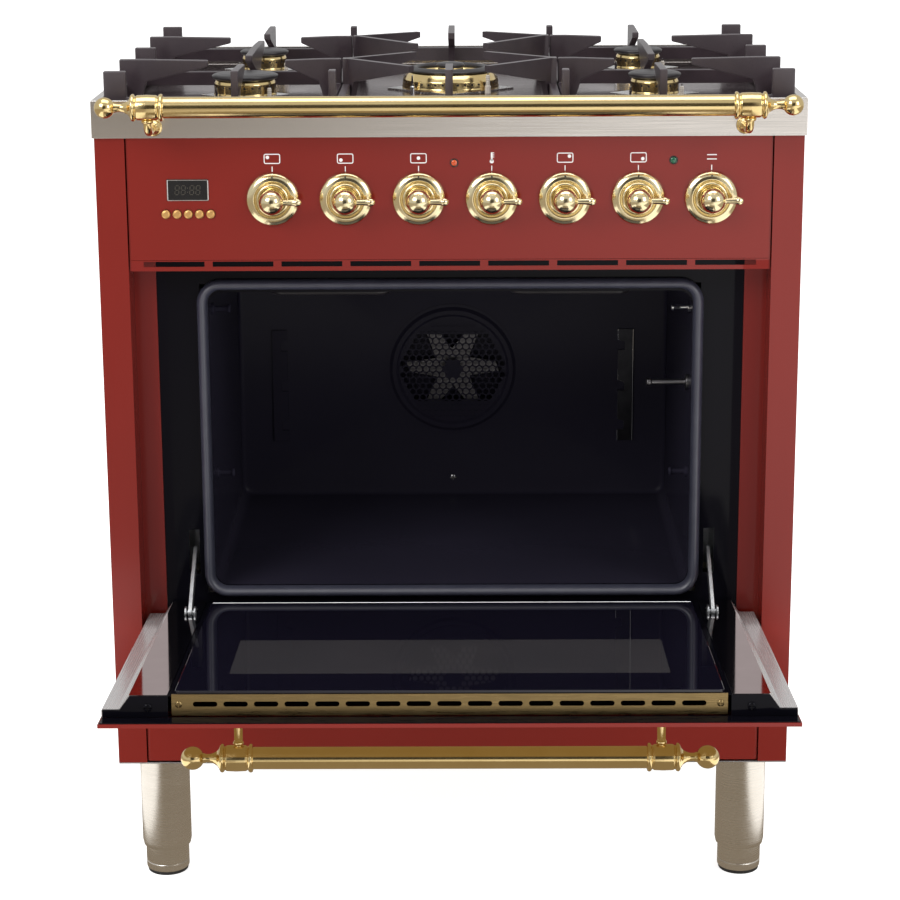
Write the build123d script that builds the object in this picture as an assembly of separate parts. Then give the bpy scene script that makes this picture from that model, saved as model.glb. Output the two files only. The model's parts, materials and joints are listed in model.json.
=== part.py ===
from build123d import *
import math
import os

# Freestanding gas range, 30-inch class, millimetres.
# Working frame: X to the right, Y into the depth from the cooktop's front face, Z up from the floor.
# Every node is written shifted back by ROW_MID_Y, so the row's origin is on the floor,
# under the middle of the range as it rests with its oven door open.

# ---- driving dimensions -------------------------------------------------
COOKTOP_W = 760.0
COOKTOP_D = 610.0
COOKTOP_TOP = 900.0
COOKTOP_FACE = 40.0
BODY_W = 756.0
FACE_Y = 4.0
BACK_Y = 608.0
BODY_BOTTOM = 151.0
BODY_TOP = COOKTOP_TOP - COOKTOP_FACE
SHEET = 1.5
THIN = 1.2
POST_W = 32.0
FRAME_Y = 45.0
FRONT_HALF = 343.0
SERVICE_DEPTH = 18.0
SCREW_X = 368.0
SCREW_ZS = (200.0, 400.0, 600.0, 800.0)
INLET_X, INLET_Z, INLET_R = 300.0, 790.0, 10.48
TERMINAL_X, TERMINAL_Z = -250.0, 560.0

# Oven
CAVITY_HALF = 270.0
CAVITY_Z = (345.0, 688.0)
CAVITY_BACK = 443.0
MOUTH_HALF = 266.0
MOUTH_Z = (349.0, 685.0)
CAVITY_CORNER = 13.0
MOUTH_CORNER = 16.0
ELEMENT_R = 3.2
ELEMENT_TOP_Z = 672.0
ELEMENT_LOW_Z = 333.0
ELEMENT_ENDS = ((-40.0, ELEMENT_TOP_Z), (40.0, ELEMENT_TOP_Z))
FAN_Z = 509.0
FAN_PORT_R = 72.0
FAN_CHAMBER_BACK = 478.0
FAN_SHAFT_R = 4.0
RACK_ROWS = (437.0, 488.0, 540.0)
PIN_Y = 125.0
PIN_ZS = (459.0, 651.0)
PROBE_Z = 564.0
WALL_SCREW_Z = 367.0

# Door, drawn closed in (x, u, v): u up from the hinge line, v inward
HINGE_Y = 21.9
HINGE_Z = 325.3
DOOR_OPEN = 86.0
DOOR_U = (-18.5, 387.0)
DOOR_FACE_V = -20.0
TRIM_U = (-18.0, 364.0)
WINDOW_HALF = 224.0
WINDOW_U = (165.0, 300.0)
HANDLE_U = 340.0
HANDLE_V = -65.0
STANDOFF_X = 210.0
GLASS = 4.0
ARM_X = 289.0
ARM_PIN_U = 38.7
ARM_PIN_V = 8.0
ARM_PIN_R = 3.0
ARM_LEAN = 37.5
ARM_LENGTH = 91.0
ARM_SLOT_Z = (362.0, 414.0)

# Control panel
PANEL_Z = (728.0, BODY_TOP)
STRIP_Z = (716.0, 727.6)
KNOB_Z = 793.6
KNOB_PITCH = 78.1
KNOB_COUNT = 7
KNOB_FIRST_X = -188.9
KNOB_BALL_R = 13.4
THERMOSTAT, SELECTOR = 4, 7
SHAFT_R = 3.0
CLOCK_X, CLOCK_Z = -279.8, 804.0
CLOCK_SIZE = (44.4, 22.9)
BUTTON_Z = 778.0
BUTTON_PITCH = 12.0
BUTTON_COUNT = 5
BUTTON_R = 4.8
PILOTS = ((5.3, 832.0), (239.0, 834.0))

# Cooktop, burners and grates
TRAY_FLOOR = 878.0
RIM = 9.0
BURNERS = {
    "front_left": (-229.0, 160.0, 34.5),
    "rear_left": (-229.0, 440.0, 27.0),
    "front_right": (229.0, 160.0, 27.0),
    "rear_right": (229.0, 440.0, 27.0),
}
CENTRE_Y = 298.0
BASE_TOP = 888.5
SPREADER_TOP = 905.5
CENTRE_BASE_TOP = 880.0
CENTRE_RING_TOP = 900.0
CROWN_TOP = 904.0
GRATE_TOP = 928.0
BLADE = 8.0
GRATE_Y = (27.0, 583.0)
GRATE_OUTER = 369.0
GRATE_SEAM = 120.0
FINGER_ROWS = (160.0, 440.0)
GRATE_LOW = 884.0
GRATE_BAR = 900.0
TIP_LOW = 919.5
ROOT_LOW = 903.0
END_PLATE = 24.0

# Rails, legs and drawer
RAIL_R = 11.2
COLLAR_R = 13.2
RAIL_Y = -48.0
RAIL_Z = 898.0
LEG_X, LEG_FRONT_Y, LEG_REAR_Y = 332.6, 55.0, 552.0
LEG_R, FOOT_R = 28.3, 24.75
DRAWER_TOP = 295.0
DRAWER_DEPTH = 440.0
DRAWER_HALF = 314.0

LIP_Y = (
    HINGE_Y
    - DOOR_U[1] * math.sin(math.radians(DOOR_OPEN))
    + DOOR_FACE_V * math.cos(math.radians(DOOR_OPEN))
)
REAR_LIMIT = COOKTOP_D + SERVICE_DEPTH
ROW_MID_Y = (LIP_Y + REAR_LIMIT) / 2

nodes = {}


# ---- helpers ------------------------------------------------------------
def add(name, *shapes):
    """Store the solids of these shapes as one named node."""
    nodes[name] = [solid for shape in shapes for solid in shape.solids()]


def block(x0, x1, y0, y1, z0, z1):
    """Axis-aligned block between two corners."""
    centre = Pos((x0 + x1) / 2, (y0 + y1) / 2, (z0 + z1) / 2)
    return centre * Box(x1 - x0, y1 - y0, z1 - z0)


def rod_x(x0, x1, y, z, r):
    """Round bar along X."""
    return Pos((x0 + x1) / 2, y, z) * Rot(0, 90, 0) * Cylinder(r, x1 - x0)


def rod_y(x, y0, y1, z, r):
    """Round bar along Y."""
    return Pos(x, (y0 + y1) / 2, z) * Rot(90, 0, 0) * Cylinder(r, y1 - y0)


def rod_z(x, y, z0, z1, r):
    """Round bar along Z."""
    return Pos(x, y, (z0 + z1) / 2) * Cylinder(r, z1 - z0)


def both(shape):
    """A piece and its mirror image on the other side of the range."""
    return [shape, mirror(shape, about=Plane.YZ)]


def turned(points, axis):
    """Solid of revolution of (radius, height) points about the Z, X or forward (-Y) axis."""
    face = make_face(Polyline(*[(r, 0, h) for r, h in points], close=True))
    solid = revolve(face, Axis.Z)
    turns = {"z": Rot(0, 0, 0), "x": Rot(0, 90, 0), "forward": Rot(90, 0, 0)}
    return turns[axis] * solid


def plate_xz(points, y0, y1):
    """Flat plate with an outline in X and Z, from y0 to y1."""
    face = make_face(Polyline(*[(x, y0, z) for x, z in points], close=True))
    return extrude(face, y1 - y0, dir=(0, 1, 0))


def plate_yz(points, x0, x1):
    """Flat plate with an outline in Y and Z, from x0 to x1."""
    face = make_face(Polyline(*[(x0, y, z) for y, z in points], close=True))
    return extrude(face, x1 - x0, dir=(1, 0, 0))


def rounded_frame(half, z0, z1, radius, y0, y1):
    """Block with its four long edges rounded, for ovens' mouths and the seal."""
    shape = block(-half, half, y0, y1, z0, z1)
    return fillet(shape.edges().filter_by(Axis.Y), radius)


def on_door(shape):
    """Swing a piece drawn at the closed door to where the door rests, open."""
    return shape.rotate(Axis((0, HINGE_Y, HINGE_Z), (1, 0, 0)), DOOR_OPEN)


def door_block(x0, x1, u0, u1, v0, v1):
    """Block in the closed door's own directions."""
    return block(x0, x1, HINGE_Y + v0, HINGE_Y + v1, HINGE_Z + u0, HINGE_Z + u1)


def knob_x(number):
    return KNOB_FIRST_X + KNOB_PITCH * (number - 1)


def button_x(number):
    return CLOCK_X + BUTTON_PITCH * (number - (BUTTON_COUNT + 1) / 2)


# ---- cabinet ------------------------------------------------------------
def side_panel():
    """Right-hand side sheet, folded round the front post and back to the frame's flange."""
    outer = BODY_W / 2
    inner = outer - POST_W
    z = (BODY_BOTTOM, BODY_TOP)
    sheet = block(outer - SHEET, outer, FACE_Y, BACK_Y, *z)
    sheet += block(inner, outer, FACE_Y, FACE_Y + SHEET, *z)
    sheet += block(inner, inner + SHEET, FACE_Y, FRAME_Y + SHEET, *z)
    sheet += block(322, inner + SHEET, FRAME_Y, FRAME_Y + SHEET, *z)
    sheet += block(outer - 18, outer, BACK_Y - SHEET, BACK_Y, *z)
    for height in SCREW_ZS:
        sheet -= rod_y(SCREW_X, BACK_Y - 3, BACK_Y + 3, height, 2.0)
    return sheet


def rear_cover():
    """Flat back sheet with four columns of vent slots and the gas pipe's hole."""
    y = (BACK_Y, BACK_Y + SHEET)
    sheet = block(-374, 374, *y, 158, BODY_TOP - 2)
    for column in (-210, -70, 70, 210):
        for row in range(6):
            z = 640 + 18 * row
            sheet -= block(column - 40, column + 40, y[0] - 1, y[1] + 1, z, z + 6)
    sheet -= rod_y(INLET_X, y[0] - 1, y[1] + 1, INLET_Z, 13.5)
    for x in (-SCREW_X, SCREW_X):
        for z in SCREW_ZS:
            sheet -= rod_y(x, y[0] - 1, y[1] + 1, z, 2.0)
    return sheet


def cabinet_screws():
    screws = []
    for x in (-SCREW_X, SCREW_X):
        for z in SCREW_ZS:
            head = rod_y(x, BACK_Y + SHEET, BACK_Y + SHEET + 2.4, z, 3.8)
            screws.append(head + rod_y(x, BACK_Y - 7, BACK_Y + SHEET, z, 1.8))
    return screws


def base_pan():
    """Bottom sheet, with an angle rail on each side for the drawer's lips."""
    pan = block(-BODY_W / 2, BODY_W / 2, FACE_Y, BACK_Y, BODY_BOTTOM - SHEET, BODY_BOTTOM)
    web = block(323, 323 + SHEET, 50, 480, BODY_BOTTOM, 176)
    shelf = block(316.5, 323 + SHEET, 50, 480, 176 - SHEET, 176)
    return [pan, *both(web + shelf)]


def leg_tubes():
    """Four tubes under the base, each with a tapered collar where the foot comes out."""
    legs = []
    top = BODY_BOTTOM - SHEET
    profile = [
        (LEG_R - 2, 33),
        (LEG_R - 1.2, 33),
        (LEG_R, 39),
        (LEG_R, top),
        (LEG_R - 2, top),
    ]
    for x in (-LEG_X, LEG_X):
        for y in (LEG_FRONT_Y, LEG_REAR_Y):
            tube = turned(profile, "z") + rod_z(0, 0, top - 3, top, LEG_R - 1)
            legs.append(Pos(x, y, 0) * tube)
    return legs


def foot(x, y):
    """Levelling foot: a sleeve that slides in the leg, on a rubber pad."""
    sleeve = rod_z(x, y, 4, 100, FOOT_R) - rod_z(x, y, 8, 101, FOOT_R - 2)
    return [sleeve, rod_z(x, y, 0, 4, FOOT_R - 1.5)]


# ---- oven ---------------------------------------------------------------
def front_frame():
    """Flush-welded enamelled sheets round the oven's mouth: a rail above and below, a stile on each
    side slotted for the hinge arm, and a small gusset rounding each corner of the mouth."""
    y = (FRAME_Y, FRAME_Y + THIN)
    z0, z1 = MOUTH_Z
    rails = [block(-321.7, 321.7, *y, 298, z0), block(-321.7, 321.7, *y, z1, 727)]
    stile = block(MOUTH_HALF, 321.7, *y, z0, z1)
    stile -= block(ARM_X - 6, ARM_X + 6, FRAME_Y - 1, FRAME_Y + THIN + 1, *ARM_SLOT_Z)
    gussets = []
    for edge, centre in ((z0, z0 + MOUTH_CORNER), (z1, z1 - MOUTH_CORNER)):
        gusset = block(MOUTH_HALF - MOUTH_CORNER, MOUTH_HALF, *y, min(edge, centre), max(edge, centre))
        gusset -= rod_y(MOUTH_HALF - MOUTH_CORNER, y[0] - 1, y[1] + 1, centre, MOUTH_CORNER)
        gussets += both(gusset)
    return [*rails, *both(stile), *gussets]


def door_gasket():
    """Soft seal standing round the mouth, just short of the closed door's glass."""
    ring = rounded_frame(278, 336.5, 700, 24, HINGE_Y + 10.4, FRAME_Y)
    return ring - rounded_frame(267.5, 347, 687, 16, HINGE_Y + 9, FRAME_Y + 1)


def oven_liner():
    """Open-fronted enamelled box, welded from flat floor, ceiling and side sheets, rounded corner
    strips, and a back with the fan's chamber pressed out of it."""
    y0 = FRAME_Y + THIN
    z0, z1 = CAVITY_Z
    outer = CAVITY_HALF + THIN
    flat = CAVITY_HALF - CAVITY_CORNER
    low, high = z0 + CAVITY_CORNER, z1 - CAVITY_CORNER
    sheets = both(block(CAVITY_HALF, outer, y0, CAVITY_BACK, low, high))
    for level in (z0 - THIN, z1):
        sheets.append(block(-flat, flat, y0, CAVITY_BACK, level, level + THIN))
    for level, bottom, top in ((low, z0 - THIN, low), (high, high, z1 + THIN)):
        strip = rod_y(flat, y0, CAVITY_BACK, level, CAVITY_CORNER + THIN)
        strip -= rod_y(flat, y0 - 1, CAVITY_BACK + 1, level, CAVITY_CORNER)
        sheets += both(strip & block(flat, outer, y0, CAVITY_BACK, bottom, top))
    back = rounded_frame(outer, z0 - THIN, z1 + THIN, CAVITY_CORNER + THIN, CAVITY_BACK, CAVITY_BACK + THIN)
    back += rod_y(0, CAVITY_BACK, FAN_CHAMBER_BACK, FAN_Z, FAN_PORT_R + 8)
    back -= rod_y(0, CAVITY_BACK - 1, FAN_CHAMBER_BACK - THIN, FAN_Z, FAN_PORT_R + 8 - THIN)
    back -= rod_y(0, FAN_CHAMBER_BACK - 5, FAN_CHAMBER_BACK + 1, FAN_Z, 7)
    for x, z in ELEMENT_ENDS:
        back -= rod_y(x, CAVITY_BACK - 1, CAVITY_BACK + 3, z, ELEMENT_R + 0.3)
    return [*sheets, back]


def bent_tube(points, bend, radius):
    """Round tube along straight runs joined by arcs."""
    path = FilletPolyline(*points, radius=bend)
    start = Plane(origin=points[0], z_dir=path % 0)
    return sweep(start * Circle(radius), path)


def oven_elements():
    """Grill loop under the cavity's ceiling, and the base element below its floor."""
    z = ELEMENT_TOP_Z
    grill = [
        (-40, 475, z),
        (-40, 400, z),
        (-200, 400, z),
        (-200, 110, z),
        (-70, 110, z),
        (-70, 330, z),
        (70, 330, z),
        (70, 110, z),
        (200, 110, z),
        (200, 400, z),
        (40, 400, z),
        (40, 475, z),
    ]
    low = ELEMENT_LOW_Z
    base = [
        (-30, 475, low),
        (-30, 400, low),
        (-190, 400, low),
        (-190, 120, low),
        (190, 120, low),
        (190, 400, low),
        (30, 400, low),
        (30, 475, low),
    ]
    return [bent_tube(grill, 14, ELEMENT_R), bent_tube(base, 20, ELEMENT_R)]


def oven_insulation():
    """Fibre slabs over, under, beside and behind the oven's liner."""
    top = block(-300, 300, 60, 440, 692, 714)
    under = block(-300, 300, 60, 440, 302, 326)
    side = block(273, 300, 120, 440, 344, 690)
    rear = block(-300, 300, 446, 472, 302, 714)
    rear -= rod_y(0, 440, 480, FAN_Z, FAN_PORT_R + 9)
    for x, z in (*ELEMENT_ENDS, (-30, ELEMENT_LOW_Z), (30, ELEMENT_LOW_Z)):
        rear -= rod_y(x, 440, 480, z, ELEMENT_R + 1.5)
    return [top, under, *both(side), rear]


def fan_cover():
    """Round cover over the fan: an embossed rim, and rows of round holes staggered in a disc."""
    front = CAVITY_BACK - 3.0
    profile = [
        (0, front + 1.0),
        (68, front + 1.0),
        (71, front - 2.0),
        (76, front - 2.0),
        (80, CAVITY_BACK - 1.2),
        (84, CAVITY_BACK - 1.2),
        (84, CAVITY_BACK - 0.1),
        (79.5, CAVITY_BACK - 0.1),
        (75.5, front - 0.9),
        (71.5, front - 0.9),
        (68.5, front + 2.0),
        (0, front + 2.0),
    ]
    cover = turned([(r, -y) for r, y in profile], "forward")
    pitch = 8.4
    row = pitch * math.sqrt(3) / 2
    spots = []
    for j in range(-8, 9):
        for i in range(-9, 10):
            x = pitch * (i + 0.5 * (j % 2))
            z = row * j
            if 9.0 < math.hypot(x, z) < 64.5:
                spots.append(Pos(x, z))
    holes = Sketch() + [spot * Circle(3.4) for spot in spots]
    cutter = extrude(Plane.XZ * holes, 10, both=True)
    return Pos(0, 0, FAN_Z) * (cover - Pos(0, front + 1.5, 0) * cutter)


def fan_motor():
    """Motor can behind the fan's chamber, with its rear boss."""
    y = FAN_CHAMBER_BACK
    can = rod_y(0, y, y + 45, FAN_Z, 34) + rod_y(0, y + 45, y + 58, FAN_Z, 12)
    return can - rod_y(0, y - 1, y + 40, FAN_Z, FAN_SHAFT_R + 0.08)


def convection_fan():
    """Star-shaped fan: six blunt vanes with a folded fin on each, a hub and its shaft."""
    y = 455.0
    points = []
    for i in range(6):
        for turn, r in ((-6, 59.0), (7, 55.0), (32, 24.0)):
            a = math.radians(60 * i + turn)
            points.append((r * math.cos(a), FAN_Z + r * math.sin(a)))
    fan = plate_xz(points, y, y + 1.5)
    for i in range(6):
        fin = block(14, 50, y + 1.5, y + 13, FAN_Z - 0.75, FAN_Z + 0.75)
        fan += fin.rotate(Axis((0, 0, FAN_Z), (0, 1, 0)), 60 * i)
    fan += rod_y(0, y - 5, y + 14, FAN_Z, 8)
    return fan + rod_y(0, y - 7, FAN_CHAMBER_BACK + 38, FAN_Z, FAN_SHAFT_R)


def cavity_fittings():
    """Notched rack brackets on the back wall, stop pins and a probe on the side walls."""
    bracket = block(209, 228, CAVITY_BACK - 3, CAVITY_BACK, 416, 560)
    for z in RACK_ROWS:
        bracket -= block(208, 218, CAVITY_BACK - 4, CAVITY_BACK + 1, z - 7, z + 7)
    pins = []
    for z in PIN_ZS:
        pin = rod_x(252, CAVITY_HALF, PIN_Y, z, 3.0) + rod_x(249, 252, PIN_Y, z, 5.0)
        pin += rod_x(CAVITY_HALF - 3, CAVITY_HALF, PIN_Y, z, 6.5)
        pins += both(pin)
    probe = rod_x(224, CAVITY_HALF, PIN_Y, PROBE_Z, 3.2) + rod_x(222, 228, PIN_Y, PROBE_Z, 4.5)
    probe += rod_x(CAVITY_HALF - 4, CAVITY_HALF, PIN_Y, PROBE_Z, 9.0)
    screw = rod_y(0, CAVITY_BACK - 3, CAVITY_BACK, WALL_SCREW_Z, 4.5)
    return [*both(bracket), *pins, probe, screw]


def hinge_receivers():
    """Channel behind each frame slot that the hinge arm's tail moves in."""
    y = (FRAME_Y + THIN, 112.0)
    z = (354.0, 444.0)
    channel = block(ARM_X - 8, ARM_X - 6.5, *y, *z) + block(ARM_X + 6.5, ARM_X + 8, *y, *z)
    channel += block(ARM_X - 8, ARM_X + 8, y[1] - 1.5, y[1], *z)
    return both(channel)


# ---- door ---------------------------------------------------------------
def door_panel():
    """Outer enamelled pan of the door with its window and the handle's two holes."""
    u0, u1 = DOOR_U
    v = DOOR_FACE_V
    pan = door_block(-FRONT_HALF, FRONT_HALF, u0, u1, v, v + 4)
    pan -= door_block(-FRONT_HALF + THIN, FRONT_HALF - THIN, u0 + THIN, u1 - THIN, v + THIN, v + 5)
    pan -= door_block(-WINDOW_HALF, WINDOW_HALF, *WINDOW_U, v - 1, v + 3)
    for x in (-STANDOFF_X, STANDOFF_X):
        pan -= rod_y(x, HINGE_Y + v - 1, HINGE_Y + v + 2, HINGE_Z + HANDLE_U, 2.6)
    return pan


def door_glass():
    """Inner pane that the oven's seal meets, and the outer pane behind the window."""
    inner = door_block(-270, 270, 2, 360, 6, 6 + GLASS)
    outer_v = DOOR_FACE_V + THIN
    outer = door_block(-240, 240, WINDOW_U[0] - 12, WINDOW_U[1] + 12, outer_v, outer_v + GLASS)
    return [inner, outer]


def door_liner():
    """Black inner tray of the door: spacer walls, a ledge at the top and the trims' end caps."""
    u0, u1 = TRIM_U
    v0, v1 = DOOR_FACE_V + 5, 5.5
    walls = [door_block(-310, 310, u0, u0 + THIN, v0, v1)]
    walls += both(door_block(310 - THIN, 310, u0 + THIN, 360, v0, v1))
    side = door_block(262, 310 - THIN, u0 + THIN, 360, v1 - THIN, v1)
    side -= door_block(ARM_X - 7, ARM_X + 7, 18, 60, 0, 6)
    ends = [door_block(-262, 262, *u, v1 - THIN, v1) for u in ((u0 + THIN, 10), (352, 360))]
    ledge = door_block(-341, 341, u1 + 2, DOOR_U[1] - THIN, DOOR_FACE_V + 4, DOOR_FACE_V + 5)
    outline = [(276, -15), (341, -15), (341, -7.5), (324, -7.5), (313.8, 6.5), (276, 6.5)]
    points = [(x, HINGE_Y + v, HINGE_Z + u1) for x, v in outline]
    cap = extrude(make_face(Polyline(*points, close=True)), 2, dir=(0, 0, 1))
    return [*walls, *both(side), *ends, ledge, *both(cap)]


def door_side_trims():
    """Folded steel trims down both sides of the door's inner face."""
    outline = [
        (342, -16),
        (342, -7),
        (324.6, -7),
        (314.6, 7),
        (277, 7),
        (277, 5.8),
        (313.8, 5.8),
        (323.8, -8.2),
        (340.8, -8.2),
        (340.8, -16),
    ]
    points = [(x, HINGE_Y + v, HINGE_Z + TRIM_U[0]) for x, v in outline]
    trim = extrude(make_face(Polyline(*points, close=True)), TRIM_U[1] - TRIM_U[0], dir=(0, 0, 1))
    trim -= door_block(ARM_X - 7, ARM_X + 7, 18, 60, 0, 8)
    return both(trim)


def door_vent_strip():
    """Slotted strip across the top of the door's inner side."""
    strip = door_block(-273, 273, 361, 361 + THIN, -14.5, 7)
    strip += door_block(-273, 273, 360, 361 + THIN, 7 - THIN, 7)
    pitch = 30.0
    for i in range(17):
        x = pitch * (i - 8)
        strip -= door_block(x - 12, x + 12, 360, 363, -6.3, 0.5)
    return strip


def rail_turnings(half, collar, rail_r, collar_r, ball_x, ball_r):
    """Tube of half-length half, with a turned collar, neck and ball finial at each end."""
    tube = rod_x(-half, half, 0, 0, rail_r)
    x0, x1 = half, half + collar
    neck_r = 0.34 * collar_r
    profile = [
        (0, x0),
        (collar_r, x0),
        (collar_r + 1.2, x0 + 1.5),
        (collar_r, x0 + 4),
        (collar_r - 1.2, x0 + 5.5),
        (collar_r - 1.2, x1 - 5.5),
        (collar_r, x1 - 4),
        (collar_r + 1.2, x1 - 1.5),
        (collar_r - 1.5, x1),
        (neck_r + 1.5, x1 + 5),
        (neck_r, x1 + 9),
        (neck_r, ball_x),
        (0, ball_x),
    ]
    end = turned(profile, "x") + Pos(ball_x, 0, 0) * Sphere(ball_r)
    return [tube, *both(end)]


def door_handle():
    """Brass rail across the door on two round standoffs."""
    place = Pos(0, HINGE_Y + HANDLE_V, HINGE_Z + HANDLE_U)
    rail = [place * piece for piece in rail_turnings(196, 36, RAIL_R, COLLAR_R, 256, 11.7)]
    v0 = HINGE_Y + HANDLE_V + COLLAR_R - 0.6
    v1 = HINGE_Y + DOOR_FACE_V
    z = HINGE_Z + HANDLE_U
    post = rod_y(STANDOFF_X, v0, v1, z, 4.25) + rod_y(STANDOFF_X, v1 - 3, v1, z, 7.5)
    post += rod_y(STANDOFF_X, v1, v1 + THIN, z, 2.5)
    post -= place * rod_x(190, 240, 0, 0, COLLAR_R - 1.2)
    return rail, both(post)


def door_hinge_forks():
    """Fork in each side of the door, with the pin that the hinge arm turns on."""
    y, z = HINGE_Y + ARM_PIN_V, HINGE_Z + ARM_PIN_U
    cheek = door_block(ARM_X - 6, ARM_X - 4, 22, 56, -14, 4.0)
    cheek += rod_x(ARM_X - 6, ARM_X - 4, y, z, 7)
    cheek += door_block(ARM_X - 6, ARM_X - 4, ARM_PIN_U - 7, ARM_PIN_U + 7, -14, ARM_PIN_V)
    fork = cheek + Pos(10, 0, 0) * cheek + door_block(ARM_X - 6, ARM_X + 6, 22, 56, -16, -14)
    fork += rod_x(ARM_X - 6, ARM_X + 6, y, z, ARM_PIN_R)
    return both(fork)


def hinge_arm():
    """Tapered arm drawn along +Y from its pin, then leaned to its resting angle."""
    y, z = HINGE_Y + ARM_PIN_V, HINGE_Z + ARM_PIN_U
    outline = [
        (y, z - 7),
        (y + 30, z - 6.5),
        (y + ARM_LENGTH - 4, z - 2.5),
        (y + ARM_LENGTH, z),
        (y + ARM_LENGTH - 4, z + 3.5),
        (y + 42, z + 6.5),
        (y, z + 7),
    ]
    arm = plate_yz(outline, ARM_X - 2, ARM_X + 2) + rod_x(ARM_X - 2, ARM_X + 2, y, z, 7)
    arm -= rod_x(ARM_X - 3, ARM_X + 3, y, z, ARM_PIN_R + 0.08)
    return arm.rotate(Axis((0, y, z), (1, 0, 0)), ARM_LEAN - DOOR_OPEN)


# ---- controls -----------------------------------------------------------
def control_panel():
    """Fascia with holes for shafts, clock, buttons and lamps, and the slotted strip below it."""
    y = (FACE_Y, FACE_Y + SHEET)
    fascia = block(-FRONT_HALF, FRONT_HALF, *y, *PANEL_Z)
    for z in (PANEL_Z[0], PANEL_Z[1] - SHEET):
        fascia += block(-FRONT_HALF, FRONT_HALF, FACE_Y, FACE_Y + 20, z, z + SHEET)
    for number in range(1, KNOB_COUNT + 1):
        fascia -= rod_y(knob_x(number), y[0] - 1, y[1] + 1, KNOB_Z, 5)
    for number in range(1, BUTTON_COUNT + 1):
        fascia -= rod_y(button_x(number), y[0] - 1, y[1] + 1, BUTTON_Z, BUTTON_R + 0.3)
    for x, z in PILOTS:
        fascia -= rod_y(x, y[0] - 1, y[1] + 1, z, 4.2)
    w, h = CLOCK_SIZE[0] / 2 - 1, CLOCK_SIZE[1] / 2 - 1
    fascia -= block(CLOCK_X - w, CLOCK_X + w, y[0] - 1, y[1] + 1, CLOCK_Z - h, CLOCK_Z + h)
    strip = block(-FRONT_HALF, FRONT_HALF, *y, *STRIP_Z)
    strip += block(-FRONT_HALF, FRONT_HALF, FACE_Y, FACE_Y + 20, STRIP_Z[0], STRIP_Z[0] + THIN)
    for i in range(9):
        x = 74.2 * (i - 4)
        strip -= block(x - 32.75, x + 32.75, y[0] - 1, y[1] + 1, 720.6, 726.3)
    return [fascia, strip]


def knob(number):
    """Dished skirt, ball and lever that turn with the control's shaft."""
    skirt = [
        (0, 0.6),
        (28.0, 0.6),
        (28.5, 2.0),
        (28.5, 5.5),
        (27.2, 7.4),
        (25.4, 7.4),
        (24.0, 5.4),
        (18.6, 4.4),
        (17.2, 6.4),
        (15.4, 6.4),
        (13.0, 9.0),
        (8.0, 11.0),
        (6.0, 12.5),
        (6.0, 14.0),
        (0, 14.0),
    ]
    front = FACE_Y
    centre = Pos(knob_x(number), front, KNOB_Z)
    dish = centre * turned(skirt, "forward")
    ball = centre * Pos(0, -23, 0) * Sphere(KNOB_BALL_R)
    lever = centre * Pos(17.5, -24.5, 0) * Rot(0, 90, 0) * Cone(2.6, 3.8, 22)
    lever += centre * Pos(28.5, -24.5, 0) * Sphere(3.9)
    dish -= ball
    shaft = rod_y(knob_x(number), front - 0.6, front + 36, KNOB_Z, SHAFT_R)
    return [dish, ball + lever, shaft]


def control_valves():
    """Gas taps, the thermostat and the oven selector, behind the fascia."""
    bodies = []
    for number in range(1, KNOB_COUNT + 1):
        x = knob_x(number)
        if number in (THERMOSTAT, SELECTOR):
            body = block(x - 20, x + 20, 10, 48, KNOB_Z - 20, KNOB_Z + 20)
        else:
            body = rod_y(x, 10, 26, KNOB_Z, 13) + block(x - 14, x + 14, 26, 56, KNOB_Z - 14, KNOB_Z + 14)
        bodies.append(body - rod_y(x, 0, FACE_Y + 37, KNOB_Z, SHAFT_R + 0.08))
    return bodies


def gas_manifold():
    """Gas rail behind the taps, its run to the threaded inlet, and a feed pipe to each burner."""
    pipe_y, pipe_z = 68.0, KNOB_Z
    rail = rod_x(-215, 325, pipe_y, pipe_z, 10)
    supply = [(325, pipe_y, pipe_z), (345, pipe_y, pipe_z), (345, 560, pipe_z)]
    supply += [(INLET_X, 560, INLET_Z), (INLET_X, REAR_LIMIT - 16, INLET_Z)]
    rail += bent_tube(supply, 18, 8.5)
    rail += rod_y(INLET_X, REAR_LIMIT - 26, REAR_LIMIT - 16, INLET_Z, 12.5)
    rail += rod_y(INLET_X, REAR_LIMIT - 16, REAR_LIMIT, INLET_Z, INLET_R)
    feeds = []
    routes = ((1, "rear_left", 838), (2, "front_left", 822), (5, "rear_right", 838), (6, "front_right", 822))
    for number, name, level in routes:
        x, y, _ = BURNERS[name]
        start = knob_x(number)
        points = [(start, 44, KNOB_Z + 14), (start, 44, level), (start, 100, level), (x, 122, level)]
        points += [(x, y, level), (x, y, 850)]
        feeds.append(bent_tube(points, 8, 3.0))
    start = knob_x(3)
    points = [(start, 44, KNOB_Z + 14), (start, 44, 830), (start, 200, 830), (0, 230, 830)]
    points += [(0, CENTRE_Y, 830), (0, CENTRE_Y, 850)]
    feeds.append(bent_tube(points, 8, 3.0))
    return [rail, *feeds]


def power_terminal_box():
    """Closed box on the back with the supply cable's empty gland underneath."""
    y = (BACK_Y + SHEET, REAR_LIMIT)
    box = block(TERMINAL_X - 40, TERMINAL_X + 40, *y, TERMINAL_Z - 30, TERMINAL_Z + 30)
    gland = rod_z(TERMINAL_X, (y[0] + y[1]) / 2, TERMINAL_Z - 42, TERMINAL_Z - 30, 8)
    return box + gland - rod_z(TERMINAL_X, (y[0] + y[1]) / 2, TERMINAL_Z - 43, TERMINAL_Z - 26, 5)


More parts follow.
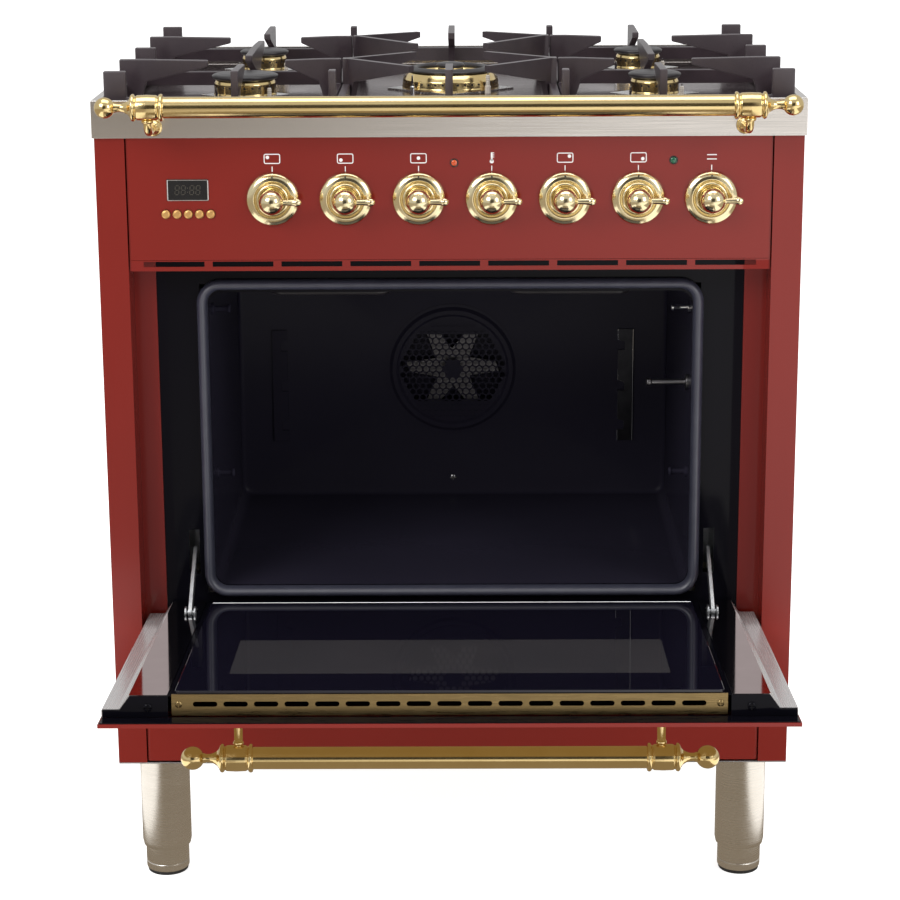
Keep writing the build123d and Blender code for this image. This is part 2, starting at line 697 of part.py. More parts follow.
def clock_module():
    """Display window in its frame, with the electronics box behind it."""
    w, h = CLOCK_SIZE[0] / 2, CLOCK_SIZE[1] / 2
    rim = block(CLOCK_X - w, CLOCK_X + w, FACE_Y - 1, FACE_Y, CLOCK_Z - h, CLOCK_Z + h)
    window = block(CLOCK_X - w + 1.2, CLOCK_X + w - 1.2, FACE_Y - 1, 12, CLOCK_Z - h + 1.2, CLOCK_Z + h - 1.2)
    box = block(CLOCK_X - 34, CLOCK_X + 34, 12, 42, CLOCK_Z - 14, CLOCK_Z + 22)
    board = block(CLOCK_X - 34, CLOCK_X + 34, 24, 42, BUTTON_Z - 10, CLOCK_Z - 14)
    return rim + window + box + board


def clock_button(number):
    """Push button with a stem that reaches back towards the clock's board."""
    x = button_x(number)
    cap = rod_y(x, FACE_Y - 3.6, FACE_Y + 0.2, BUTTON_Z, BUTTON_R)
    return cap + rod_y(x, FACE_Y + 0.2, 20, BUTTON_Z, 2.2)


def pilot_lights():
    lamps = []
    for x, z in PILOTS:
        lens = rod_y(x, FACE_Y - 1.6, FACE_Y, z, 4.6)
        lamps.append(lens + rod_y(x, FACE_Y, FACE_Y + 22, z, 4.1))
    return lamps


# ---- cooktop ------------------------------------------------------------
def cooktop():
    """Pressed steel top: a skirt all round, a narrow rim and a sunk tray with burner holes."""
    half = COOKTOP_W / 2
    top = COOKTOP_TOP
    shell = block(-half, half, 0, COOKTOP_D, BODY_TOP, top)
    outer_edges = shell.edges().group_by(Axis.Z)[-1] + shell.edges().filter_by(Axis.Z)
    shell = fillet(outer_edges, 1.1)
    shell -= block(-half + THIN, half - THIN, THIN, COOKTOP_D - THIN, BODY_TOP - 1, top - THIN)
    inner = half - RIM
    y = (RIM, COOKTOP_D - RIM)
    shell += block(-inner - THIN, inner + THIN, y[0] - THIN, y[1] + THIN, TRAY_FLOOR - THIN, top - THIN)
    shell -= block(-inner, inner, *y, TRAY_FLOOR, top + 1)
    flange = block(-half + THIN, half - THIN, THIN, COOKTOP_D - THIN, BODY_TOP, BODY_TOP + THIN)
    shell += flange - block(-half + 22, half - 22, 22, COOKTOP_D - 22, BODY_TOP - 1, BODY_TOP + 2)
    for x, y_burner, _ in BURNERS.values():
        shell -= rod_z(x, y_burner, TRAY_FLOOR - 5, TRAY_FLOOR + 1, 29)
    return shell - rod_z(0, CENTRE_Y, TRAY_FLOOR - 5, TRAY_FLOOR + 1, 47)


def diamond(half, z0, z1):
    """Pointed square plate with its corners to the front, back and sides."""
    points = [(half, 0, z0), (0, half, z0), (-half, 0, z0), (0, -half, z0)]
    return extrude(make_face(Polyline(*points, close=True)), z1 - z0, dir=(0, 0, 1))


def burner_bases():
    bases = []
    for x, y, _ in BURNERS.values():
        base = rod_z(0, 0, 850, TRAY_FLOOR, 28) + rod_z(0, 0, TRAY_FLOOR, BASE_TOP - 2, 34)
        base += diamond(50, BASE_TOP - 2, BASE_TOP)
        bases.append(Pos(x, y, 0) * (base - rod_z(0, 0, 854, BASE_TOP + 1, 16)))
    centre = rod_z(0, 0, 850, TRAY_FLOOR, 46) + diamond(74, TRAY_FLOOR, CENTRE_BASE_TOP)
    centre += rod_z(0, 0, TRAY_FLOOR, CENTRE_BASE_TOP, 55)
    bases.append(Pos(0, CENTRE_Y, 0) * (centre - rod_z(0, 0, 854, CENTRE_BASE_TOP + 1, 12)))
    return bases


def ports(ring_r, z, count, bore):
    """Radial drillings through a ring's wall."""
    drill = rod_x(ring_r - 12, ring_r + 2, 0, z, bore)
    return [drill.rotate(Axis.Z, 360 * i / count) for i in range(count)]


def flame_spreaders():
    """Brass rings with a row of gas ports; the centre one has an inner crown as well."""
    spreaders = []
    for x, y, r in BURNERS.values():
        z0, z1 = BASE_TOP, SPREADER_TOP
        profile = [(r - 3, z0), (r, z0 + 1.5), (r, z1 - 4), (r - 2, z1), (r - 8, z1), (r - 8, z0)]
        ring = turned(profile, "z")
        for drill in ports(r, z0 + 9.5, round(2 * math.pi * r / 8.6), 1.3):
            ring -= drill
        spreaders.append(Pos(x, y, 0) * ring)
    z0, z1 = CENTRE_BASE_TOP, CENTRE_RING_TOP
    profile = [(9, z0), (54, z0), (57, z0 + 1.5), (57, z1 - 8), (49, z1), (37, z1), (34, z1 - 3)]
    profile += [(34, z0 + 3), (15, z0 + 3), (15, CROWN_TOP), (9, CROWN_TOP)]
    centre = turned(profile, "z")
    for drill in ports(57, z0 + 8, 40, 1.3) + ports(15, z1 - 1, 12, 1.1):
        centre -= drill
    spreaders.append(Pos(0, CENTRE_Y, 0) * centre)
    return spreaders


def burner_cap(x, y, ring_r):
    """Domed cap with a spigot that drops inside the ring."""
    r, z = ring_r + 2.75, SPREADER_TOP
    spigot = ring_r - 9.2
    profile = [(0, z - 4), (spigot, z - 4), (spigot, z), (r - 3.5, z), (r - 0.6, z + 2.4), (r, z + 3.6)]
    profile += [(r - 0.8, z + 4.8), (r - 5, z + 6.4), (0.55 * r, z + 7.4), (0, z + 7.8)]
    return Pos(x, y, 0) * turned(profile, "z")


def centre_cap():
    """Ring cap on the outer flame ring, and the small cap on the inner crown."""
    z = CENTRE_RING_TOP
    ring = [(39, z), (50.5, z), (51.5, z + 1.6), (46.5, z + 4.6), (43.5, z + 5.4), (39.5, z + 4.4)]
    ring.append((38, z + 2))
    z = CROWN_TOP
    small = [(0, z - 3), (8.3, z - 3), (8.3, z), (15.6, z), (16.6, z + 2.4), (14.5, z + 5.2), (0, z + 6.3)]
    return [Pos(0, CENTRE_Y, 0) * turned(points, "z") for points in (ring, small)]


def burner_electrodes():
    """A ceramic igniter in front and to the right of each burner, a thermocouple on its left."""
    pieces = []
    places = [(x, y, max(r + 6.8, 40.0)) for x, y, r in BURNERS.values()] + [(0, CENTRE_Y, 61.5)]
    for x, y, reach in places:
        for angle, r, top in ((-45, 2.6, 899), (-135, 1.9, 896)):
            a = math.radians(angle)
            px, py = x + reach * math.cos(a), y + reach * math.sin(a)
            post = rod_z(px, py, TRAY_FLOOR, top, r) + rod_z(px, py, top, top + 3, 0.5 * r)
            pieces.append(post)
    return pieces


# ---- grates -------------------------------------------------------------
def finger(length, root, tip_top=GRATE_TOP - 1.5):
    """Tapering finger along +X from the origin, full height over its root."""
    outline = [(0, GRATE_LOW), (0, GRATE_TOP), (root, GRATE_TOP), (length, tip_top)]
    outline += [(length, TIP_LOW), (root + 6, ROOT_LOW), (root, GRATE_LOW)]
    return plate_xz(outline, -BLADE / 2, BLADE / 2)


def placed_finger(x, y, angle, length, root):
    """Finger from (x, y), pointing at an angle in plan."""
    return Pos(x, y, 0) * Rot(0, 0, angle) * finger(length, root)


def bars(x0, x1):
    """Low frame of a grate: two bars along Y and two along X, on four feet."""
    y0, y1 = GRATE_Y
    low = (GRATE_LOW, GRATE_BAR)
    frame = block(x0, x0 + BLADE, y0, y1, *low) + block(x1 - BLADE, x1, y0, y1, *low)
    frame += block(x0, x1, y0, y0 + BLADE, *low) + block(x0, x1, y1 - BLADE, y1, *low)
    for x in (x0, x1 - BLADE):
        for y in (y0, y1 - 16):
            frame += block(x, x + BLADE, y, y + 16, TRAY_FLOOR, GRATE_LOW)
    return frame


def side_grate():
    """Right-hand grate over two burners: fingers from both sides, the ends and the middle bar."""
    x0, x1 = GRATE_SEAM + 0.8, GRATE_OUTER
    y0, y1 = GRATE_Y
    middle = (y0 + y1) / 2
    burner_x = BURNERS["front_right"][0]
    full = (GRATE_LOW, GRATE_TOP)
    grate = bars(x0, x1)
    for y in FINGER_ROWS:
        grate += placed_finger(x1, y, 180, 99, END_PLATE)
        grate += placed_finger(x0, y, 0, 63, 20)
    for y in (y0 + BLADE / 2, CENTRE_Y, y1 - BLADE / 2):
        grate += block(x1 - END_PLATE, x1, y - BLADE / 2, y + BLADE / 2, *full)
    for y in (y0, y1 - 16):
        grate += block(x0, x0 + BLADE, y, y + 16, *full)
    grate += placed_finger(burner_x, y0, 90, 88, END_PLATE)
    grate += placed_finger(burner_x, y1, -90, 96, END_PLATE)
    grate += block(x0, x1, CENTRE_Y - BLADE / 2, CENTRE_Y + BLADE / 2, GRATE_LOW, GRATE_BAR)
    grate += placed_finger(burner_x, middle - 8, 90, 101, 34)
    grate += placed_finger(burner_x, middle + 8, -90, 101, 34)
    return grate


def centre_grate():
    """Middle grate: a finger at the front and back, and two V pairs from each side."""
    x1 = GRATE_SEAM - 0.8
    y0, y1 = GRATE_Y
    grate = bars(-x1, x1)
    grate += placed_finger(0, y0, 90, 84, END_PLATE)
    grate += placed_finger(0, y1, -90, 96, END_PLATE)
    spread = ((FINGER_ROWS[0], -74, 88), (FINGER_ROWS[1], -92, 70))
    for y, forward, back in spread:
        for reach in (forward, back):
            run = x1 - 41.5 - BLADE / 2
            angle = math.degrees(math.atan2(reach, run))
            length = math.hypot(reach, run)
            right = placed_finger(x1 - BLADE / 2, y, 180 - angle, length, 10)
            grate += right
            grate += mirror(right, about=Plane.YZ)
        for x in (-x1 + BLADE / 2, x1 - BLADE / 2):
            grate += block(x - BLADE / 2, x + BLADE / 2, y - 8, y + 8, GRATE_LOW, GRATE_TOP)
    return grate


# ---- towel rail and drawer ----------------------------------------------
def towel_rail():
    """Brass rail in front of the cooktop on two curved brackets."""
    place = Pos(0, RAIL_Y, RAIL_Z)
    rail = [place * piece for piece in rail_turnings(297, 33, RAIL_R, COLLAR_R, 358, 11)]
    x, low = 313.7, 871.5
    start = (x, RAIL_Y, RAIL_Z - COLLAR_R + 0.6)
    bracket = bent_tube([start, (x, RAIL_Y, low), (x, -2, low)], 12, 4.2)
    bracket += rod_y(x, -3, 0, low, 9.5)
    bracket -= place * rod_x(300, 330, 0, 0, COLLAR_R - 1.2)
    return [*rail, *both(bracket)]


def drawer_front():
    pan = block(-FRONT_HALF, FRONT_HALF, FACE_Y, FACE_Y + 18, BODY_BOTTOM + 2, DRAWER_TOP)
    edge = FRONT_HALF - SHEET
    return pan - block(-edge, edge, FACE_Y + SHEET, FACE_Y + 19, BODY_BOTTOM + 2 + SHEET, DRAWER_TOP - SHEET)


def drawer_box():
    """Steel box welded from flat sheets behind the drawer's front, with a lip on each side for the rails."""
    y = (FACE_Y + 18, FACE_Y + 18 + DRAWER_DEPTH)
    z = (158, 284)
    inner = DRAWER_HALF - THIN
    floor = block(-DRAWER_HALF, DRAWER_HALF, *y, z[0], z[0] + THIN)
    front = block(-inner, inner, y[0], y[0] + THIN, z[0] + THIN, z[1])
    back = block(-inner, inner, y[1] - THIN, y[1], z[0] + THIN, z[1])
    side = block(inner, DRAWER_HALF, *y, z[0] + THIN, z[1])
    lip = block(DRAWER_HALF, DRAWER_HALF + 6.5, 50, y[1], 176.3, 177.5)
    tab = block(DRAWER_HALF, 330, y[0], y[0] + THIN, 170, 280)
    return [floor, front, back, *both(side), *both(lip), *both(tab)]


# ---- assembly -----------------------------------------------------------
add("side_panels", *both(side_panel()))
add("rear_cover", rear_cover())
add("cabinet_screws", *cabinet_screws())
add("base_pan", *base_pan())
add("leg_tubes", *leg_tubes())
for label, foot_x, foot_y in (
    ("front_left", -LEG_X, LEG_FRONT_Y),
    ("front_right", LEG_X, LEG_FRONT_Y),
    ("rear_left", -LEG_X, LEG_REAR_Y),
    ("rear_right", LEG_X, LEG_REAR_Y),
):
    add("foot_" + label, *foot(foot_x, foot_y))

add("oven_front_frame", *front_frame())
add("door_gasket", door_gasket())
add("oven_liner", *oven_liner())
add("oven_elements", *oven_elements())
add("oven_insulation", *oven_insulation())
add("fan_cover", fan_cover())
add("fan_motor", fan_motor())
add("convection_fan", convection_fan())
add("cavity_fittings", *cavity_fittings())
add("hinge_receivers", *hinge_receivers())

handle_rail, handle_posts = door_handle()
add("door_panel", on_door(door_panel()))
add("door_glass", *[on_door(pane) for pane in door_glass()])
add("door_liner", *[on_door(piece) for piece in door_liner()])
add("door_side_trims", *[on_door(trim) for trim in door_side_trims()])
add("door_vent_strip", on_door(door_vent_strip()))
add("door_handle", *[on_door(piece) for piece in handle_rail + handle_posts])
add("door_hinge_forks", *[on_door(fork) for fork in door_hinge_forks()])
add("hinge_arms", *[on_door(arm) for arm in both(hinge_arm())])

add("control_panel", *control_panel())
for knob_number in range(1, KNOB_COUNT + 1):
    add(f"knob_{knob_number}", *knob(knob_number))
add("control_valves", *control_valves())
add("gas_manifold", *gas_manifold())
add("power_terminal_box", power_terminal_box())
add("clock_module", clock_module())
for button_number in range(1, BUTTON_COUNT + 1):
    add(f"clock_button_{button_number}", clock_button(button_number))
add("pilot_lights", *pilot_lights())

add("cooktop", cooktop())
add("burner_bases", *burner_bases())
add("flame_spreaders", *flame_spreaders())
add("burner_electrodes", *burner_electrodes())
for burner_name, (burner_x, burner_y, burner_r) in BURNERS.items():
    add("burner_cap_" + burner_name, burner_cap(burner_x, burner_y, burner_r))
add("burner_cap_centre", *centre_cap())
right_grate = side_grate()
add("grate_right", right_grate)
add("grate_left", mirror(right_grate, about=Plane.YZ))
add("grate_centre", centre_grate())

add("towel_rail", *towel_rail())
add("drawer_front", drawer_front())
add("drawer_box", *drawer_box())

os.makedirs("parts", exist_ok=True)
for node_name, solids in nodes.items():
    moved = Compound([Pos(0, -ROW_MID_Y, 0) * solid for solid in solids])
    export_step(moved, f"parts/{node_name}.step")
print(len(nodes), "nodes, Y shift", round(-ROW_MID_Y, 3))
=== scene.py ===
import json
import math
import bmesh
import bpy
from mathutils import Matrix, Vector


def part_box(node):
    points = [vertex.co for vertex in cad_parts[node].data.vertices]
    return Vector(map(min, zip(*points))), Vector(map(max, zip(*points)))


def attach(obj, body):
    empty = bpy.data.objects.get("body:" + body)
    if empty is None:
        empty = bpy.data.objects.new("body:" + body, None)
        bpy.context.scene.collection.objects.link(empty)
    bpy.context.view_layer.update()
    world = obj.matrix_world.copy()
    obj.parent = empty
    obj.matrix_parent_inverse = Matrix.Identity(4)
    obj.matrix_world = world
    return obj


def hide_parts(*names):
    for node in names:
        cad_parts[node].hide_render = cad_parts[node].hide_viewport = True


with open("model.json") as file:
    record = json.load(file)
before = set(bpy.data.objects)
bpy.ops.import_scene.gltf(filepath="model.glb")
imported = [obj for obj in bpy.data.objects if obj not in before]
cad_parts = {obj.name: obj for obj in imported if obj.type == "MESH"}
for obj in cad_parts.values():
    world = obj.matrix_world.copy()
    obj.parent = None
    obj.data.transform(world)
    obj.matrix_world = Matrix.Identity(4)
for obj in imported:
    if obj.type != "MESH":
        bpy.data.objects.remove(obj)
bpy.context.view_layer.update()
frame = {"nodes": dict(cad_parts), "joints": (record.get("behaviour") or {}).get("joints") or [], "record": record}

# Freestanding gas range. Lengths are millimetres in the frame's own axes until Build.piece() makes them
# metres. The studio at the end is in metres.
MM = 0.001


# ---- places taken from the frame ----
def corners(node):
    """Lowest and highest corner of a CAD node."""
    low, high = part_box(node)
    return low / MM, high / MM


def middle(node):
    low, high = corners(node)
    return (low + high) / 2


JOINTS = {joint["name"]: joint for joint in frame["joints"]}


def pivot(joint_name):
    return Vector(JOINTS[joint_name]["pos_m"]) / MM


FACE_Y = corners("side_panels")[0].y
HINGE = pivot("door_hinge")
DOOR_ANGLE = -math.radians(JOINTS["door_hinge"]["range_deg"][0])
DOOR_TURN = Matrix.Translation((0, HINGE.y, HINGE.z)) @ Matrix.Rotation(DOOR_ANGLE, 4, "X")
BURNERS = ("front_left", "rear_left", "front_right", "rear_right")
FEET = ("front_left", "front_right", "rear_left", "rear_right")
THERMOSTAT = 4
KNOBS = range(1, 8)
CLOCK_BUTTONS = range(1, 6)


# ---- materials ----
def noise(tree, scale, stretch, detail):
    """Noise in the piece's own coordinates, scale in waves per metre."""
    place = tree.nodes.new("ShaderNodeTexCoord")
    mapping = tree.nodes.new("ShaderNodeMapping")
    mapping.inputs["Scale"].default_value = stretch
    texture = tree.nodes.new("ShaderNodeTexNoise")
    texture.inputs["Scale"].default_value = scale
    texture.inputs["Detail"].default_value = detail
    tree.links.new(place.outputs["Object"], mapping.inputs["Vector"])
    tree.links.new(mapping.outputs["Vector"], texture.inputs["Vector"])
    return texture.outputs["Fac"]


def spread(tree, value, low, high, start=0.3, end=0.7):
    """Map a value's useful range onto low to high."""
    ramp = tree.nodes.new("ShaderNodeMapRange")
    for socket, number in (("From Min", start), ("From Max", end), ("To Min", low), ("To Max", high)):
        ramp.inputs[socket].default_value = number
    tree.links.new(value, ramp.inputs["Value"])
    return ramp.outputs["Result"]


def mix_colours(tree, factor, first, second):
    """Blend of two colours, each a tuple or a socket."""
    mix = tree.nodes.new("ShaderNodeMix")
    mix.data_type = "RGBA"
    for socket, colour in ((mix.inputs[6], first), (mix.inputs[7], second)):
        if isinstance(colour, tuple):
            socket.default_value = (*colour, 1)
        else:
            tree.links.new(colour, socket)
    tree.links.new(factor, mix.inputs[0])
    return mix.outputs[2]


def bump(tree, height, depth, below=None):
    """Relief in millimetres, on top of another relief where one is given."""
    made = tree.nodes.new("ShaderNodeBump")
    made.inputs["Strength"].default_value = 1.0
    made.inputs["Distance"].default_value = depth * MM
    tree.links.new(height, made.inputs["Height"])
    if below is not None:
        tree.links.new(below, made.inputs["Normal"])
    return made.outputs["Normal"]


def finish(name, colour, other, roughness, patch, grain, depth, stretch=(1, 1, 1), wave=None, metallic=0.0,
           wear=None, **sockets):
    """Principled material. Its colour drifts between two tones over patches, its roughness varies over
    the grain, and the grain and an optional longer wave stand in relief. Patch, grain and wave are in waves
    per metre, and wear is the lighter tone of sharp edges: partly rubbed wear, partly
    a painted highlight."""
    made = bpy.data.materials.new(name)
    made.use_nodes = True
    tree = made.node_tree
    shader = tree.nodes["Principled BSDF"]
    shader.inputs["Metallic"].default_value = metallic
    for key, value in sockets.items():
        shader.inputs[key.replace("_", " ")].default_value = value
    tone = mix_colours(tree, spread(tree, noise(tree, patch, stretch, 5.0), 0, 1), colour, other)
    # Sharp edges take a lighter tone: partly rubbed wear, partly a painted highlight.
    if wear is not None:
        edge = tree.nodes.new("ShaderNodeNewGeometry").outputs["Pointiness"]
        tone = mix_colours(tree, spread(tree, edge, 0, 0.7, 0.52, 0.58), tone, wear)
    fine = noise(tree, grain, stretch, 3.0)
    tree.links.new(tone, shader.inputs["Base Color"])
    tree.links.new(spread(tree, fine, *roughness), shader.inputs["Roughness"])
    normal = bump(tree, fine, depth)
    if wave is not None:
        normal = bump(tree, noise(tree, wave[0], (1, 1, 1), 2.0), wave[1], below=normal)
    tree.links.new(normal, shader.inputs["Normal"])
    return made


ACROSS, AROUND = (0.012, 1, 1), (0.03, 0.03, 1)
METAL = {"metallic": 1.0}
RECIPES = {
    "red_enamel": ((0.176, 0.0125, 0.0085), (0.166, 0.0115, 0.0078), (0.10, 0.16), 5, 900, 0.003,
        dict(wave=(35.0, 0.02), Specular_IOR_Level=0.35)),
    "brushed_steel": ((0.76, 0.725, 0.69), (0.71, 0.675, 0.64), (0.17, 0.27), 60, 900, 0.004,
        dict(METAL, stretch=ACROSS)),
    "ring_brushed_steel": ((0.75, 0.71, 0.65), (0.71, 0.67, 0.61), (0.24, 0.32), 60, 1100, 0.0012,
        dict(METAL, stretch=AROUND)),
    "trim_steel": ((0.56, 0.54, 0.535), (0.50, 0.48, 0.475), (0.22, 0.32), 30, 900, 0.003,
        dict(stretch=(1, 0.02, 0.02), metallic=0.45)),
    "mirror_steel": ((0.60, 0.58, 0.57), (0.56, 0.54, 0.53), (0.04, 0.08), 30, 900, 0.001, METAL),
    "polished_brass": ((0.85, 0.665, 0.335), (0.79, 0.60, 0.28), (0.13, 0.20), 25, 700, 0.002, METAL),
    "pale_brass": ((0.90, 0.78, 0.50), (0.84, 0.715, 0.43), (0.14, 0.21), 25, 700, 0.002, METAL),
    "dull_brass": ((0.36, 0.26, 0.12), (0.28, 0.20, 0.09), (0.24, 0.40), 20, 900, 0.006,
        dict(METAL, stretch=(0.05, 1, 1))),
    "button_gold": ((0.72, 0.42, 0.15), (0.62, 0.35, 0.12), (0.30, 0.42), 90, 1500, 0.006,
        dict(metallic=0.7)),
    # The lighter edge tones of cast iron and cap enamel are partly wear, partly painted highlight.
    "cast_iron": ((0.042, 0.029, 0.035), (0.028, 0.019, 0.024), (0.26, 0.38), 40, 1400, 0.03,
        dict(wave=(220.0, 0.05), wear=(0.085, 0.072, 0.078))),
    "cap_enamel": ((0.022, 0.019, 0.021), (0.016, 0.014, 0.016), (0.28, 0.42), 50, 1400, 0.02,
        dict(wave=(180.0, 0.03), wear=(0.07, 0.06, 0.06))),
    "black_enamel": ((0.0036, 0.0033, 0.0056), (0.0030, 0.0028, 0.0048), (0.05, 0.11), 6, 700, 0.003,
        dict(wave=(30.0, 0.015), Specular_IOR_Level=0.10)),
    "cavity_enamel": ((0.0250, 0.0225, 0.0370), (0.0215, 0.0195, 0.0320), (0.16, 0.26), 6, 700, 0.003,
        dict(wave=(30.0, 0.015), Specular_IOR_Level=0.07)),
    "smoked_steel": ((0.055, 0.055, 0.062), (0.035, 0.035, 0.040), (0.30, 0.42), 60, 700, 0.006, METAL),
    "fan_steel": ((0.27, 0.26, 0.27), (0.20, 0.195, 0.205), (0.30, 0.45), 60, 700, 0.006, METAL),
    "zinc_steel": ((0.56, 0.57, 0.58), (0.44, 0.45, 0.47), (0.30, 0.48), 90, 500, 0.01, METAL),
    "chrome": ((0.80, 0.80, 0.81), (0.72, 0.72, 0.74), (0.06, 0.14), 40, 900, 0.003, METAL),
    "aluminium": ((0.80, 0.79, 0.78), (0.68, 0.67, 0.66), (0.16, 0.30), 60, 900, 0.01, METAL),
    "dark_glass": ((0.0060, 0.0052, 0.0118), (0.0052, 0.0045, 0.0102), (0.015, 0.035), 5, 500, 0.0008,
        dict(IOR=1.55)),
    # Opaque grey window: partly the glass's tint, partly painted shade of the floor seen through it.
    "window_glass_and_painted_shade": ((0.042, 0.039, 0.043), (0.036, 0.034, 0.038), (0.03, 0.06), 12, 500, 0.001,
        dict(IOR=1.55)),
    "seal": ((0.040, 0.041, 0.062), (0.030, 0.031, 0.050), (0.36, 0.48), 60, 900, 0.02,
        dict(Specular_IOR_Level=1.0)),
    "black_rubber": ((0.012, 0.012, 0.012), (0.02, 0.02, 0.02), (0.55, 0.75), 60, 1200, 0.03, {}),
    "ceramic": ((0.62, 0.57, 0.50), (0.52, 0.48, 0.42), (0.15, 0.30), 80, 900, 0.01, {}),
    "insulation": ((0.72, 0.69, 0.58), (0.60, 0.57, 0.47), (0.85, 0.98), 60, 500, 1.2,
        dict(stretch=(1, 1, 4), wave=(70.0, 2.0))),
    "black_plastic": ((0.010, 0.010, 0.012), (0.016, 0.016, 0.018), (0.25, 0.4), 40, 1500, 0.02, {}),
    "display": ((0.006, 0.006, 0.008), (0.009, 0.009, 0.010), (0.05, 0.09), 60, 900, 0.001, {}),
    "segment": ((0.050, 0.043, 0.030), (0.038, 0.033, 0.024), (0.35, 0.5), 200, 1500, 0.002, {}),
    "print_white": ((0.80, 0.78, 0.77), (0.70, 0.68, 0.67), (0.35, 0.5), 300, 1500, 0.002, {}),
    # Black of the knobs' index dots and the lens bezels; on the burners' ports it is painted shade of the holes.
    "plain_black_and_port_shade": ((0.010, 0.009, 0.008), (0.014, 0.013, 0.012), (0.3, 0.45), 300, 1500, 0.002, {}),
    "lamp_lens": ((0.62, 0.095, 0.022), (0.42, 0.050, 0.014), (0.05, 0.12), 300, 900, 0.005,
        dict(Coat_Weight=0.6)),
    "green_lens": ((0.012, 0.12, 0.060), (0.008, 0.070, 0.035), (0.05, 0.12), 300, 900, 0.005,
        dict(Coat_Weight=0.6)),
}
RECIPES["cooktop_steel"] = RECIPES["brushed_steel"]
LOOKS = {}
for look_name, (*plain, options) in RECIPES.items():
    LOOKS[look_name] = finish(look_name, *plain, **options)


def darken_low_flats(look, level, colour):
    """Darken a metal where it faces up below a level in metres: the flat of the hob's tray under its burners."""
    fade = 0.0008
    tree = look.node_tree
    colour_input = tree.nodes["Principled BSDF"].inputs["Base Color"]
    place = tree.nodes.new("ShaderNodeTexCoord")
    split, facing = tree.nodes.new("ShaderNodeSeparateXYZ"), tree.nodes.new("ShaderNodeSeparateXYZ")
    tree.links.new(place.outputs["Object"], split.inputs[0])
    tree.links.new(place.outputs["Normal"], facing.inputs[0])
    plain = colour_input.links[0].from_socket
    flat = mix_colours(tree, spread(tree, facing.outputs["Z"], 0, 1, 0.8, 0.95), plain, colour)
    tone = mix_colours(tree, spread(tree, split.outputs["Z"], 0, 1, level - fade, level), flat, plain)
    tree.links.new(tone, colour_input)


# ---- mesh building ----
def new_object(name, data):
    made = bpy.data.objects.new(name, data)
    bpy.context.scene.collection.objects.link(made)
    return made


def soften(points, reach, steps=3, closed=False):
    """Round every corner of a 2-D outline or profile with a short curve that starts reach from it."""
    made = []
    count = len(points)
    for i, point in enumerate(points):
        if not closed and i in (0, count - 1):
            made.append(point)
            continue
        here = Vector(point)
        before, after = Vector(points[i - 1]) - here, Vector(points[(i + 1) % count]) - here
        start = here + before.normalized() * min(reach, before.length * 0.45)
        end = here + after.normalized() * min(reach, after.length * 0.45)
        for k in range(steps + 1):
            t = k / steps
            made.append(tuple(start * (1 - t) ** 2 + here * 2 * t * (1 - t) + end * t * t))
    return made


def arc(centre, radius, start, end, steps):
    """Points on a circle between two angles in degrees, both ends included."""
    angles = [math.radians(start + (end - start) * k / steps) for k in range(steps + 1)]
    return [(centre[0] + radius * math.cos(a), centre[1] + radius * math.sin(a)) for a in angles]


def rectangle(half_x, half_y):
    return [(-half_x, -half_y), (half_x, -half_y), (half_x, half_y), (-half_x, half_y)]


def rounded_rectangle(half_x, half_z, radius, steps):
    """Closed outline about the origin."""
    x, z = half_x - radius, half_z - radius
    quarters = (((x, z), 0), ((-x, z), 90), ((-x, -z), 180), ((x, -z), 270))
    return [point for centre, start in quarters for point in arc(centre, radius, start, start + 90, steps)]


def lifted(profile, base):
    """A profile moved along its axis."""
    return [(radius, height + base) for radius, height in profile]


# Each turns the Z axis to the way it names, seen from the front.
TURNS = {"up": Matrix.Identity(4)}
for way, degrees, axis in (("right", 90, "Y"), ("left", -90, "Y"), ("forward", 90, "X"), ("back", -90, "X")):
    TURNS[way] = Matrix.Rotation(math.radians(degrees), 4, axis)


